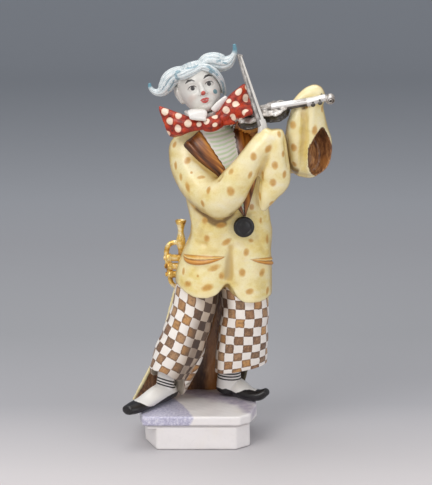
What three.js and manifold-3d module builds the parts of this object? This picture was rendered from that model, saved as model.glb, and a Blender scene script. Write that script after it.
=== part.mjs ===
// Porcelain clown playing a violin, cast and fired as one piece with its plinth.
// Millimetres, +Z up, the clown faces -Y. Origin at the middle of the plinth's underside.
import * as THREE from "three";
import { mergeVertices } from "three/addons/utils/BufferGeometryUtils.js";
import Module from "manifold-3d";

const wasm = await Module();
wasm.setup();

// ---------------------------------------------------------------- driving sizes
const TIER_TOP_Z = 16.2; // top of the lower tier
const STAGE_Z = 24.2; // top of the slab that the clown stands on
const SLAB_LIP = 2.2; // how far the slab stands out over the tier
const SLAB_SLOPE = 0.15; // its underside falls this much per millimetre to the back
const COAT_WALL = 3.4; // thickness of the coat tail
const BUTTON_R = 7.0;
const BOW_W = 5.4; // stick and hair of the bow together
const BOW_T = 2.6;
const VIOLIN_BODY = 36; // length of the violin's body
const VIOLIN_THICK = 6.2;
const PIPE_R = 1.65; // trumpet tube

// ---------------------------------------------------------------- small tools
const V = (x, y, z) => new THREE.Vector3(x, y, z);
const clamp = (x, a, b) => Math.min(b, Math.max(a, x));
const smooth = (a, b, x) => {
  const t = clamp((x - a) / (b - a), 0, 1);
  return t * t * (3 - 2 * t);
};
const bump = (x, c, w) => Math.exp(-((x - c) * (x - c)) / (w * w));

// Rows of numbers read along a smooth curve: the numbers go in threes into Catmull-Rom curves.
function rail(rows) {
  const n = rows[0].length;
  const curves = [];
  for (let k = 0; k < n; k += 3)
    curves.push(
      new THREE.CatmullRomCurve3(
        rows.map((r) => V(r[k], r[k + 1] ?? 0, r[k + 2] ?? 0)),
        false,
        "catmullrom",
        0.5,
      ),
    );
  return (s) => {
    const out = [];
    for (const c of curves) {
      const p = c.getPoint(clamp(s, 0, 1));
      out.push(p.x, p.y, p.z);
    }
    return out;
  };
}

function facesOut(positions, index) {
  let six = 0;
  for (let i = 0; i < index.length; i += 3) {
    const [a, b, c] = [index[i] * 3, index[i + 1] * 3, index[i + 2] * 3];
    six +=
      positions[a] * (positions[b + 1] * positions[c + 2] - positions[b + 2] * positions[c + 1]) -
      positions[a + 1] * (positions[b] * positions[c + 2] - positions[b + 2] * positions[c]) +
      positions[a + 2] * (positions[b] * positions[c + 1] - positions[b + 1] * positions[c]);
  }
  if (six < 0)
    for (let i = 0; i < index.length; i += 3) [index[i + 1], index[i + 2]] = [index[i + 2], index[i + 1]];
  return index;
}

function bodyOf(points, index) {
  const flat = new Float32Array(points.length * 3);
  points.forEach((p, i) => flat.set([p.x, p.y, p.z], i * 3));
  const g = new THREE.BufferGeometry();
  g.setAttribute("position", new THREE.BufferAttribute(flat, 3));
  g.setIndex(facesOut(flat, index));
  return g;
}

// Rings of points closed into a body, each end closed on its own middle point.
function skin(rings, poleA, poleB) {
  const n = rings[0].length;
  const points = rings.flat();
  const index = [];
  for (let j = 0; j + 1 < rings.length; j++)
    for (let i = 0; i < n; i++) {
      const a = j * n + i,
        b = j * n + ((i + 1) % n);
      index.push(a, b, a + n, b, b + n, a + n);
    }
  const A = points.push(poleA) - 1,
    B = points.push(poleB) - 1,
    last = (rings.length - 1) * n;
  for (let i = 0; i < n; i++) {
    index.push(A, (i + 1) % n, i);
    index.push(B, last + i, last + ((i + 1) % n));
  }
  return bodyOf(points, index);
}

// Radius of a squared-off ellipse (exponent n) at an angle.
const ellipse = (a, b, n, t) =>
  Math.pow(Math.pow(Math.abs(Math.cos(t)) / a, n) + Math.pow(Math.abs(Math.sin(t)) / b, n), -1 / n);

// A body swept along rows [x, y, z, a, b, n, roll]. The section's a axis is across `ref`, its b axis along `ref`.
// flat: sections stay level. dome: height of the rounded end. fold(angle, s): added radius. warp(point, angle, s): last change.
function loft(rows, { seg = 16, rings = 12, ref = V(0, 0, 1), flat = false, domeA = 0, domeB = 0, fold, warp, ease } = {}) {
  const at = rail(rows.map((r) => [r[0], r[1], r[2], r[3], r[4], r[5] ?? 2, r[6] ?? 0, 0, 0]));
  if (flat) ref = V(0, 1, 0);
  const frame = (s) => {
    const q = at(s);
    const c = V(q[0], q[1], q[2]);
    const t = flat ? V(0, 0, 1) : V(...at(s + 0.004).slice(0, 3)).sub(V(...at(s - 0.004).slice(0, 3))).normalize();
    const b = ref.clone().addScaledVector(t, -ref.dot(t)).normalize();
    const a = b.clone().cross(t).normalize();
    return { c, t, a, b, ra: q[3], rb: q[4], n: q[5], roll: q[6] };
  };
  const ring = (f, s, k, off) => {
    const out = [];
    for (let i = 0; i < seg; i++) {
      const t = (i / seg) * Math.PI * 2 + 1e-3;
      let r = ellipse(f.ra, f.rb, f.n, t);
      if (fold) r += fold(t, s);
      r *= k;
      const u = t + (f.roll * Math.PI) / 180;
      const p = f.c
        .clone()
        .addScaledVector(f.a, Math.cos(u) * r)
        .addScaledVector(f.b, Math.sin(u) * r)
        .addScaledVector(f.t, off);
      if (warp) warp(p, t, s);
      out.push(p);
    }
    return out;
  };
  const all = [];
  const A = frame(0),
    B = frame(1);
  const steps = 2;
  if (domeA) for (let j = steps - 1; j > 0; j--) {
    const w = (j / steps) * (Math.PI / 2);
    all.push(ring(A, 0, Math.cos(w), -domeA * Math.sin(w)));
  }
  for (let j = 0; j <= rings; j++) {
    const s = ease ? ease(j / rings) : j / rings;
    all.push(ring(frame(s), s, 1, 0));
  }
  if (domeB) for (let j = 1; j < steps; j++) {
    const w = (j / steps) * (Math.PI / 2);
    all.push(ring(B, 1, Math.cos(w), domeB * Math.sin(w)));
  }
  const mean = (r) => r.reduce((m, p) => m.add(p), V(0, 0, 0)).divideScalar(r.length);
  const poleA = mean(all[0]).addScaledVector(A.t, -(domeA * (1 - Math.sin(Math.PI / 4))));
  const poleB = mean(all[all.length - 1]).addScaledVector(B.t, domeB * (1 - Math.sin(Math.PI / 4)));
  return skin(all, poleA, poleB);
}

// A sheet of cloth of even thickness: at(u, v) gives its face, and it is thickened the way `out` points.
function sheet(at, nu, nv, thick, outward) {
  const e = 1e-3;
  const points = [];
  const side = (k) => {
    for (let j = 0; j <= nv; j++)
      for (let i = 0; i <= nu; i++) {
        const u = i / nu,
          v = j / nv;
        const p = at(u, v);
        const du = at(Math.min(1, u + e), v).sub(at(Math.max(0, u - e), v));
        const dv = at(u, Math.min(1, v + e)).sub(at(u, Math.max(0, v - e)));
        const n = du.cross(dv).normalize();
        if (n.dot(outward(u, v)) < 0) n.negate();
        points.push(p.addScaledVector(n, k * (typeof thick === "function" ? thick(u, v) : thick)));
      }
  };
  side(0);
  side(1);
  const w = nu + 1,
    top = w * (nv + 1),
    index = [];
  for (let j = 0; j < nv; j++)
    for (let i = 0; i < nu; i++) {
      const a = j * w + i;
      index.push(a, a + 1, a + w, a + 1, a + w + 1, a + w);
      index.push(top + a, top + a + w, top + a + 1, top + a + 1, top + a + w, top + a + w + 1);
    }
  const edge = [];
  for (let i = 0; i < nu; i++) edge.push(i);
  for (let j = 0; j < nv; j++) edge.push(j * w + nu);
  for (let i = nu; i > 0; i--) edge.push(nv * w + i);
  for (let j = nv; j > 0; j--) edge.push(j * w);
  edge.forEach((a, k) => {
    const b = edge[(k + 1) % edge.length];
    index.push(a, top + a, b, b, top + a, top + b);
  });
  return bodyOf(points, index);
}

function solid(geometry) {
  const g = geometry.index ? geometry.toNonIndexed() : geometry.clone();
  g.deleteAttribute("normal");
  g.deleteAttribute("uv");
  const m = mergeVertices(g, 1e-4);
  const s = new wasm.Manifold(
    new wasm.Mesh({
      numProp: 3,
      vertProperties: new Float32Array(m.attributes.position.array),
      triVerts: new Uint32Array(facesOut(m.attributes.position.array, Array.from(m.index.array))),
    }),
  );
  return s;
}

const parts = []; // [name, solid], joined at the end in this order
const add = (name, geometry) => parts.push([name, solid(geometry)]);
const place = (g, position, axisX, axisZ) => {
  const z = axisZ.clone().normalize();
  const x = axisX.clone().addScaledVector(z, -axisX.dot(z)).normalize();
  const y = z.clone().cross(x);
  return g.applyMatrix4(new THREE.Matrix4().makeBasis(x, y, z).setPosition(position));
};

// ---------------------------------------------------------------- plinth: two tiers with chamfered corners
function slab(outline, z0, z1, edge) {
  const shape = new THREE.Shape(outline.map(([x, y]) => new THREE.Vector2(x, y)));
  const g = new THREE.ExtrudeGeometry(shape, {
    depth: z1 - z0 - 2 * edge,
    bevelEnabled: edge > 0,
    bevelSize: edge,
    bevelThickness: edge,
    bevelOffset: -edge,
    bevelSegments: 2,
  });
  return g.translate(0, 0, z0 + edge);
}
// Plans of the two tiers: the slab's sides open out towards the back, the corners are cut off.
const tierPlan = [
  [-27.2, -33],
  [28, -33],
  [37.6, -24],
  [37.8, 10],
  [33, 27],
  [22, 35],
  [-24, 35],
  [-33.5, 24],
  [-36.4, 4],
  [-36, -9],
];
const slabPlan = [
  [-37, -35],
  [30.4, -35],
  [37.8, -27.5],
  [43.2, 0],
  [40.5, 24],
  [29, 38.5],
  [-31, 39.5],
  [-40.5, 27],
  [-41.6, 6],
  [-38.4, -23],
];
const inset = (outline, d) =>
  outline.map(([x, y]) => {
    const r = Math.hypot(x, y);
    return [x * (1 - d / r), y * (1 - d / r)];
  });
add("tier", slab(tierPlan, 0, TIER_TOP_Z, 1.1));
add("groove", slab(inset(slabPlan, SLAB_LIP + 1.6), TIER_TOP_Z - 1.5, STAGE_Z - 4, 0));
{
  const g = slab(slabPlan, STAGE_Z - 6.8, STAGE_Z, 1.5);
  const at = g.attributes.position;
  // the slab grows thicker towards the back
  for (let i = 0; i < at.count; i++)
    if (at.getZ(i) < STAGE_Z - 3) at.setZ(i, at.getZ(i) - SLAB_SLOPE * clamp(at.getY(i) + 30, 0, 36));
  add("slab", g);
}

// ---------------------------------------------------------------- trousers
// the right hem rises in front over the instep and hangs low behind, most of all on its inner side
const hemRight = (x, y) => {
  const inner = smooth(-26, -10, x),
    behind = smooth(-8, 6, y);
  return 6.3 - 7.3 * inner - (9 + 7 * inner) * behind;
};
const hemLeft = (x) => 0.2 * (x - 13) - 2;
add(
  "leg_right",
  loft(
    [
      [4, -4, 130, 14.5, 14.5, 2.2],
      [-0.5, -5, 99, 15.8, 16.5, 2.2],
      [-3, -5, 90, 16.2, 17, 2.2],
      [-7, -5, 77.5, 16.2, 17, 2.3],
      [-12.2, -5, 63, 16.2, 16.6, 2.3],
      [-20.2, -3.5, 46, 12.6, 15.5, 2.3],
    ],
    { seg: 14, rings: 6, flat: true, warp: (p, t, s) => (p.z += smooth(0.35, 1, s) * hemRight(p.x, p.y)) },
  ),
);
add(
  "leg_left",
  loft(
    [
      [30, -4, 130, 15.5, 16, 2.2],
      [34.2, -3, 97, 16.4, 17, 2.2],
      [33.2, 1, 77, 17.4, 16.8, 2.3],
      [32.2, 6, 58, 18.4, 16.2, 2.4],
      [31.8, 9, 47.5, 18.6, 15.6, 2.4],
    ],
    { seg: 14, rings: 5, flat: true, warp: (p, t, s) => (p.z += smooth(0.5, 1, s) * hemLeft(p.x)) },
  ),
);

// ---------------------------------------------------------------- coat: body of the jacket
const jacketHem = (x) =>
  6 * bump(x, -17, 7) - 3 * bump(x, 3, 10) + 7.5 * bump(x, 22, 5.2) - 6.4 * smooth(22, 36, x) + 1.8 * smooth(45, 53, x);
const panelOut = (x) => 2.6 * bump(x, 4, 9) - 3.4 * bump(x, 22, 6) + 2.6 * bump(x, 42, 9);
add(
  "jacket",
  loft(
    [
      [19, -7, 109.5, 33.6, 22, 2.3],
      [19.4, -7, 122, 33.2, 21, 2.2],
      [21.5, -7, 135, 31, 20, 2.2],
      [24.3, -7.5, 150, 28, 18.5, 2.2],
      [22, -7, 170, 28, 18.5, 2.2],
      [18, -6, 188, 30.5, 19, 2.2],
      [14.5, -5, 205, 33, 18, 2.2],
      [12.5, -5, 216, 26.5, 14.5, 2.1],
      [10.5, -6, 223, 14, 11.5, 2],
    ],
    {
      seg: 22,
      rings: 9,
      flat: true,
      warp: (p, t, s) => {
        const low = 1 - smooth(0, 0.16, s);
        const front = smooth(2, -12, p.y);
        p.y -= (1 - smooth(0, 0.36, s)) * front * panelOut(p.x);
        p.z += low * (0.35 + 0.65 * front) * jacketHem(p.x);
      },
    },
  ),
);

// Coat tail: rows of [height, left edge x, y, right edge x, y, y at the middle].
const tailRows = rail([
  [150, 6, 2, 43, 2, 6],
  [131, -7, 5, 49, 5, 10.5],
  [104, -15.4, 8, 50.5, 9, 15.5],
  [78, -22.2, 8, 49.5, 14, 21],
  [52, -30.8, 8, 39.8, 24, 27],
  [22.6, -45.8, 10, 33, 31.5, 33],
]);
const tail = (u, v) => {
  const [z, xl, yl, xr, yr, ym] = tailRows(v);
  const lift = 4 * u * (1 - u) * (ym - (yl + yr) / 2);
  const flute = 1.7 * v * Math.sin(u * Math.PI * 5) * smooth(0, 0.12, u) * smooth(1, 0.88, u);
  return V(xl + (xr - xl) * u, yl + (yr - yl) * u + lift + flute, z);
};
add(
  "coat_tail",
  sheet(tail, 12, 7, (u, v) => COAT_WALL * (0.55 + 0.45 * smooth(0, 0.08, u) * smooth(1, 0.92, u)), () => V(0, 1, 0)),
);

// ---------------------------------------------------------------- arms and wide sleeves
const ACROSS = V(0, 1, 0);
const round = { seg: 12, rings: 5, ref: ACROSS };
add(
  "upper_arm_right",
  loft(
    [
      [-5.5, -5, 207, 13, 13.5],
      [-4.4, -10, 196, 12.8, 14],
      [1.6, -18, 185.4, 13, 14],
      [8.4, -25, 178.8, 12.6, 13.5],
      [13.5, -29, 175.6, 12, 12.5],
    ],
    { ...round, domeA: 8, domeB: 6 },
  ),
);
add(
  "forearm_right",
  loft(
    [
      [11, -29.5, 178, 11.6, 12],
      [16, -34, 176.8, 13.4, 12.6],
      [22.6, -38, 181.8, 12.2, 12],
      [28, -41, 190.4, 10.6, 11.4],
      [34, -43, 199, 9.4, 10.4],
      [40.3, -44.5, 208.6, 8.7, 9.6],
      [46.5, -45, 216.4, 8.2, 8.8],
      [49.8, -45, 221.4, 7.2, 8],
    ],
    { ...round, domeA: 8, domeB: 4 },
  ),
);
add(
  "cuff_right",
  loft(
    [
      [52.2, -44, 223.6, 6.4, 6.8],
      [53.2, -44, 216.4, 7.6, 8.6],
      [54, -43, 206.6, 8.2, 9.6],
      [53.7, -42, 197.7, 9.8, 9.6],
      [53, -41.5, 190.4, 10.3, 8.6],
      [49.8, -41.3, 183.4, 7.9, 7.2],
      [46.9, -41, 176, 4.9, 5.6],
      [45.4, -41, 170.8, 2.2, 3],
    ],
    { ...round, rings: 6, domeA: 1.8, domeB: 1.2 },
  ),
);
add(
  "upper_arm_left",
  loft(
    [
      [40, -4, 205, 14, 14],
      [54, -9, 203, 13, 13.5],
      [66, -15, 203, 11.6, 12.5],
      [76, -20, 206, 11, 12],
    ],
    { ...round, rings: 6, domeA: 6, domeB: 6 },
  ),
);
const sleeve = solid(
  loft(
    [
      [75, -20, 192.6, 8.6, 8],
      [75.4, -21, 197.2, 13.2, 12],
      [76, -23, 204.6, 16, 13.5],
      [76, -25, 213, 16.2, 13.6],
      [75.2, -27, 223, 14.4, 13],
      [75.4, -29, 232, 12.2, 11.4],
      [76.4, -30, 239.6, 10, 9.6],
      [78.4, -31, 245.4, 8.2, 8.2],
    ],
    { ...round, seg: 16, rings: 8, domeA: 2.4, domeB: 5, warp: (p) => (p.y += 2.2 * bump(p.x, 73.4, 2.4) * smooth(-18, -28, p.y)) },
  ),
);
// The open mouth is cut with its own pointed outline, closing inwards towards the arm.
const MOUTH_OUTLINE = [
  [85.5, 224.6],
  [90.6, 216],
  [93.4, 207.6],
  [91.2, 198.6],
  [86.4, 193],
  [81.2, 191.6],
  [77.6, 195.6],
  [75.9, 202.6],
  [76.2, 210],
  [78.8, 217],
  [82.2, 222],
];
const MOUTH_DEPTHS = [
  [-60, 1.06, 0], // y, scale of the outline, shift of x
  [-30, 1, 0],
  [-24, 0.93, -1.8],
  [-20, 0.8, -4],
  [-16.6, 0.45, -6],
];
const mouthGeometry = () => {
  const n = MOUTH_OUTLINE.length,
    at = [],
    index = [];
  for (const [y, k, dx] of MOUTH_DEPTHS)
    for (const [x, z] of MOUTH_OUTLINE) at.push(84.4 + (x - 84.4) * k + dx, y, 207.5 + (z - 207.5) * k);
  const front = at.length / 3;
  at.push(84.4, MOUTH_DEPTHS[0][0], 207.5, 84.4 + MOUTH_DEPTHS.at(-1)[2], MOUTH_DEPTHS.at(-1)[0], 207.5);
  for (let j = 0; j < MOUTH_DEPTHS.length - 1; j++)
    for (let i = 0; i < n; i++) {
      const a = j * n + i,
        b = j * n + ((i + 1) % n);
      index.push(a, a + n, b, b, a + n, b + n);
    }
  for (let i = 0; i < n; i++) {
    const j = (i + 1) % n,
      last = (MOUTH_DEPTHS.length - 1) * n;
    index.push(front, i, j, front + 1, last + j, last + i);
  }
  const g = new THREE.BufferGeometry();
  g.setAttribute("position", new THREE.Float32BufferAttribute(at, 3));
  g.setIndex(index);
  return g;
};
const mouth = solid(mouthGeometry());
parts.push(["sleeve_left", sleeve.subtract(mouth)]);
// The sleeve runs on over the hand and behind the neck of the violin.
add(
  "sleeve_end_left",
  loft(
    [
      [80.6, -31, 243, 6.6, 7],
      [79.6, -33, 247.6, 6.2, 6],
      [73, -34, 245.6, 4.6, 4.6],
      [67, -35, 241.2, 2.8, 3.4],
    ],
    { ...round, seg: 10, rings: 6, domeA: 3, domeB: 2 },
  ),
);
// ---------------------------------------------------------------- lapels, button, pockets
const leaf = (outline, thick, position, axisX, axisZ) => {
  const shape = new THREE.Shape(outline.map(([x, y]) => new THREE.Vector2(x, y)));
  const g = new THREE.ExtrudeGeometry(shape, {
    depth: thick - 1,
    bevelEnabled: true,
    bevelSize: 0.5,
    bevelThickness: 0.5,
    bevelOffset: -0.5,
    bevelSegments: 1,
  });
  return place(g, position, axisX, axisZ);
};
// Lapels: outlines drawn from the height of the notch, laid on the chest.
add(
  "lapel_right",
  leaf(
    [
      [2, 22.5],
      [-2, 18.5],
      [-8.8, 12.5],
      [2, 1.5],
      [14.5, -10],
      [31, -35],
      [35, -39],
      [34.4, -32],
      [19.2, -3],
    ],
    7,
    V(0, -15.6, 200),
    V(1, -0.21, 0.02),
    V(-0.2, -1, 0.13),
  ),
);
add(
  "lapel_left",
  leaf(
    [
      [25, 24.5],
      [36, 23],
      [47, 15],
      [41.5, -1],
      [36.6, -38],
      [34.6, -38],
      [29.2, -4],
    ],
    7,
    V(0, -21.6, 200),
    V(1, 0.1, 0),
    V(0.1, -1, 0.13),
  ),
);
add(
  "shirt_front",
  leaf(
    [
      [2, 23],
      [26.5, 23.5],
      [30, -2],
      [35.4, -39],
      [19, -4],
    ],
    5,
    V(0, -18.9, 200),
    V(1, -0.03, 0),
    V(-0.03, -1, 0.13),
  ),
);
add(
  "button",
  place(
    new THREE.LatheGeometry(
      [
        [0, -5],
        [BUTTON_R - 1.2, -5],
        [BUTTON_R, 0.4],
        [BUTTON_R - 0.6, 1.6],
        [BUTTON_R - 2.4, 2.6],
        [0, 3],
      ].map(([x, y]) => new THREE.Vector2(x, y)),
      14,
    ).rotateX(Math.PI / 2),
    V(33, -29, 156.6),
    V(1, 0, 0),
    V(0.12, -1, 0.1),
  ),
);
const pocket = (x, y, z, w, h, tilt) =>
  loft(
    [
      [x - w / 2, y, z - tilt / 2, 1.2, 1.4],
      [x - w / 5, y - 1, z - h * 0.16, h / 2, 2.2],
      [x + w / 5, y - 1, z - h * 0.1, h / 2, 2.2],
      [x + w / 2, y, z + tilt / 2, 1.2, 1.4],
    ],
    { seg: 8, rings: 6, ref: ACROSS },
  );
add("pocket_right", pocket(5.4, -27.5, 134.5, 27, 6, -1));
add("pocket_left", pocket(44.5, -20.5, 132.5, 20, 6, 3));

// ---------------------------------------------------------------- collar, neck, bow tie
add(
  "neck",
  loft(
    [
      [9.5, -7, 214, 12, 10.5],
      [7.5, -8.5, 226, 9.8, 9.4],
      [6, -9, 240, 9, 9],
    ],
    { seg: 14, rings: 4, ref: ACROSS },
  ),
);
add(
  "collar",
  loft(
    [
      [7.5, -11, 222, 14, 12, 2.2],
      [6.5, -11.5, 228.5, 13, 11.5, 2.2],
      [6.2, -11.5, 234, 14, 12, 2.2],
    ],
    { seg: 16, rings: 3, flat: true, warp: (p, t, s) => (p.z += s * (5.5 * bump(p.x, 20, 5) - 2.5 * bump(p.x, 4, 6))) },
  ),
);
add(
  "bow_tie_right",
  loft(
    [
      [7.6, -27, 226.4, 3.4, 4, 2.4],
      [-2.2, -26.5, 226.3, 5, 5, 2.6],
      [-11.4, -24.5, 226.4, 8.2, 5.6, 2.8],
      [-20.9, -20.5, 227.4, 11, 4.6, 3.6],
    ],
    // its end is cut on a slant
    { seg: 12, rings: 6, ref: ACROSS, domeB: 0.8, warp: (p, t, s) => (p.x += smooth(0.4, 1, s) * (1.5 - 0.47 * (p.z - 227))) },
  ),
);
add(
  "bow_tie_left",
  loft(
    [
      [14.6, -27, 228.6, 3.8, 4.2, 2.4],
      [21.6, -26, 232.6, 8, 5.4, 2.6],
      [28.6, -23.5, 236.8, 12.4, 5.6, 2.8],
      [35, -20.5, 240.6, 15.4, 4, 3.8],
    ],
    // the loose end hangs nearly upright, its lower corner lies over the violin
    {
      seg: 12,
      rings: 6,
      ref: ACROSS,
      domeB: 0.8,
      warp: (p, t, s) => {
        p.x += smooth(0.25, 1, s) * 0.34 * (p.z - 238);
        const low = smooth(0.3, 0.85, s) * smooth(243, 229, p.z);
        p.y -= 20 * low;
        p.z += 6.2 * low;
        p.x -= 1.6 * low;
      },
    },
  ),
);
add(
  "bow_tie_knot",
  loft(
    [
      [6.4, -28, 226, 4.2, 4.4, 2.4],
      [11.3, -29.5, 227, 5.2, 5.2, 2.6],
      [16.2, -28, 229, 4.8, 4.6, 2.4],
    ],
    { seg: 10, rings: 3, ref: ACROSS, domeA: 1.4, domeB: 1.4 },
  ),
);

// ---------------------------------------------------------------- shoes and ankles
const onStage = (p) => (p.z = Math.max(p.z, STAGE_Z - 0.4));
add(
  "shoe_right",
  loft(
    [
      [-17.6, 12, 29.4, 5.2, 5],
      [-21, 6, 31.4, 6.6, 7],
      [-27.8, -3.5, 31, 7, 6.6],
      [-36.4, -14.5, 28.4, 7.2, 4.4],
      [-43, -24, 27.5, 6.8, 4],
      [-47.2, -29.4, 27.4, 4.8, 3.4],
    ],
    { seg: 10, rings: 6, domeA: 2, domeB: 1.6, warp: onStage },
  ),
);
add(
  "shoe_left",
  loft(
    [
      [18.6, 29, 30, 5.2, 5.6],
      [22, 25, 31.4, 6.8, 7],
      [29.4, 17, 31, 7.2, 6.6],
      [37, 9.5, 28.4, 7, 4.6],
      [44.5, 4, 28.7, 6.2, 4],
      [49.6, 1.2, 31.8, 4, 2.8],
    ],
    { seg: 10, rings: 6, domeA: 2, domeB: 1.6, warp: onStage },
  ),
);
const ankle = (foot, knee, r) =>
  loft([[...foot, r * 1.12, r * 1.15], [...foot.map((v, i) => (v + knee[i]) / 2), r, r], [...knee, r, r]], {
    seg: 12,
    rings: 4,
    ref: ACROSS,
  });
add("ankle_right", ankle([-23, 4, 29], [-20, 1, 56], 6.2));
add("ankle_left", ankle([23.4, 21, 29], [23.8, 13, 58], 8.2));

// ---------------------------------------------------------------- head, in its own frame: x across the face, -y out of it, z up
const HEAD = new THREE.Matrix4();
{
  const z = V(-0.28, 0.17, 0.945).normalize();
  const x = V(0.955, 0.12, 0.27);
  x.addScaledVector(z, -x.dot(z)).normalize();
  HEAD.makeBasis(x, z.clone().cross(x), z).setPosition(V(3.2, -10.5, 248));
}
const onHead = (g) => g.applyMatrix4(HEAD);
const addHead = (name, rows, options) => add(name, onHead(loft(rows, options)));
const FACE_W = 14; // half-width of the face
const EYE_X = 5.6,
  EYE_Z = 1.4;
addHead(
  "head",
  [
    [0, -6, -15, 5.4, 5, 2],
    [0, -3.4, -11.4, 9.6, 10, 2.1],
    [0, -1, -6, 12.2, 13.6, 2.1],
    [0, 0, 1, FACE_W - 0.4, 15, 2.1],
    [0, 1, 8, FACE_W - 0.2, 15.6, 2.1],
    [0, 1.6, 14, 11.6, 13.4, 2],
    [0, 1.6, 18, 6.4, 8.4, 2],
  ],
  {
    seg: 18,
    rings: 10,
    flat: true,
    domeA: 1.4,
    domeB: 1.2,
    warp: (p) => {
      if (p.y > 0) return;
      const x = Math.abs(p.x);
      p.y += 1.6 * bump(x, EYE_X, 3) * bump(p.z, EYE_Z, 2.6); // eye hollow
      p.y -= 0.7 * bump(x, EYE_X, 4) * bump(p.z, 5.4, 2); // brow
      p.y -= 1.2 * bump(x, 6.6, 3.4) * bump(p.z, -4.4, 3.4); // cheek
      p.y -= 1.3 * bump(x, 0, 3.4) * bump(p.z, -14, 2.8); // chin
      p.y += 0.7 * bump(x, 0, 4) * bump(p.z, -11, 1.6);
    },
  },
);
addHead(
  "nose",
  [
    [0, -13.2, 4, 1.5, 1.6],
    [0, -14.8, 0.5, 1.7, 2.1],
    [0, -16, -3, 2.2, 2.6],
    [0, -15.6, -5, 2.6, 2.4],
  ],
  { seg: 8, rings: 5, flat: true, domeA: 0.8 },
);
for (const side of [-1, 1]) {
  addHead(
    side < 0 ? "ear_right" : "ear_left",
    [
      [side * 13.2, 1, -5.4, 1.2, 1.4],
      [side * 14.3, 1.4, -2, 1.6, 2.6],
      [side * 15, 2, 3, 1.9, 3.6],
      [side * 14.4, 2, 5.4, 1.4, 2.2],
    ],
    { seg: 8, rings: 4, flat: true },
  );
  addHead(
    side < 0 ? "eye_right" : "eye_left",
    [
      [side * (EYE_X - 2.6), -12.8, EYE_Z, 0.5, 0.5],
      [side * (EYE_X - 1), -13.1, EYE_Z, 1.7, 1.6],
      [side * (EYE_X + 1), -12.5, EYE_Z, 1.7, 1.6],
      [side * (EYE_X + 2.6), -11.2, EYE_Z, 0.5, 0.5],
    ],
    { seg: 8, rings: 5, ref: ACROSS },
  );
}
for (const [name, z, w, y] of [
  ["lip_upper", -8.2, 3.3, -14.4],
  ["lip_lower", -9.9, 2.7, -14],
])
  addHead(
    name,
    [
      [-w, y + 0.9, z, 0.3, 0.4],
      [-w / 2.4, y, z + 0.1, 0.95, 1.3],
      [w / 2.4, y, z + 0.1, 0.95, 1.3],
      [w, y + 0.9, z, 0.3, 0.4],
    ],
    { seg: 8, rings: 5, ref: ACROSS },
  );

// ---------------------------------------------------------------- hair: cap, rolls over the brow, two flicked sides
addHead(
  "hair_cap",
  [
    [0, 7, -11, 8.4, 5.6, 2],
    [0, 6.6, -5, 12.2, 9.4, 2.1],
    [0, 5.6, 2, 14.2, 12, 2.1],
    [0, 4, 9, 15, 14.2, 2.1],
    [0, 2.4, 14.6, 13.2, 14.6, 2],
    [0, 2.4, 18.6, 8.4, 9.6, 2],
  ],
  { seg: 14, rings: 6, flat: true, domeA: 2, domeB: 1.6 },
);
const strand = (rows, seg = 12, rings = 10) => loft(rows, { seg, rings, ref: ACROSS, domeA: 1, domeB: 0.6 });
add(
  "hair_flick_right",
  strand([
    [0.4, -9, 261, 3.6, 8],
    [-5.7, -9, 259, 4.8, 8.4],
    [-11.8, -9, 258, 5.6, 8],
    [-16.8, -9.4, 255.2, 5.8, 7.2],
    [-19.5, -10, 251.2, 5.2, 6],
    [-22.6, -10, 247.4, 3.9, 4.6],
    [-25.8, -10, 246.2, 2.5, 3.2],
    [-28.9, -10, 247.3, 1.7, 2.2],
    [-30.8, -10, 249.7, 1.3, 1.6],
    [-31.2, -10, 252, 0.9, 1.2],
  ], 9, 10),
);
add(
  "hair_flick_left",
  strand([
    [3.4, -9, 264.4, 3.6, 8],
    [7.9, -9, 267.1, 5.2, 8.4],
    [12.6, -9, 267.3, 6, 8],
    [17.4, -9, 266.2, 6, 7],
    [21.8, -9.5, 266.8, 4.6, 5.4],
    [25.3, -10, 270.2, 2.5, 3.4],
    [26.8, -10.5, 274.4, 1.6, 2.1],
    [26.4, -11, 278.6, 1.1, 1.4],
  ], 9, 10),
);
add(
  "brow_roll_right",
  strand([
    [5.2, -18.6, 264.6, 2.2, 2.8],
    [-1.5, -21.6, 261.8, 2.8, 2.8],
    [-7.5, -22.6, 259.5, 3.2, 2.9],
    [-12.2, -20.6, 258.2, 2.2, 2.2],
  ], 8, 4),
);
add(
  "brow_roll_left",
  strand([
    [2.4, -18.6, 264.4, 2.2, 2.8],
    [8, -20.8, 263.9, 2.5, 2.8],
    [12.6, -20.4, 261.4, 2.4, 2.8],
    [16.4, -17.4, 257, 2.1, 2.6],
    [18.8, -13.6, 251, 1.7, 2.2],
    [19.9, -11.2, 245.6, 1.2, 1.6],
  ], 8, 5),
);

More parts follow.
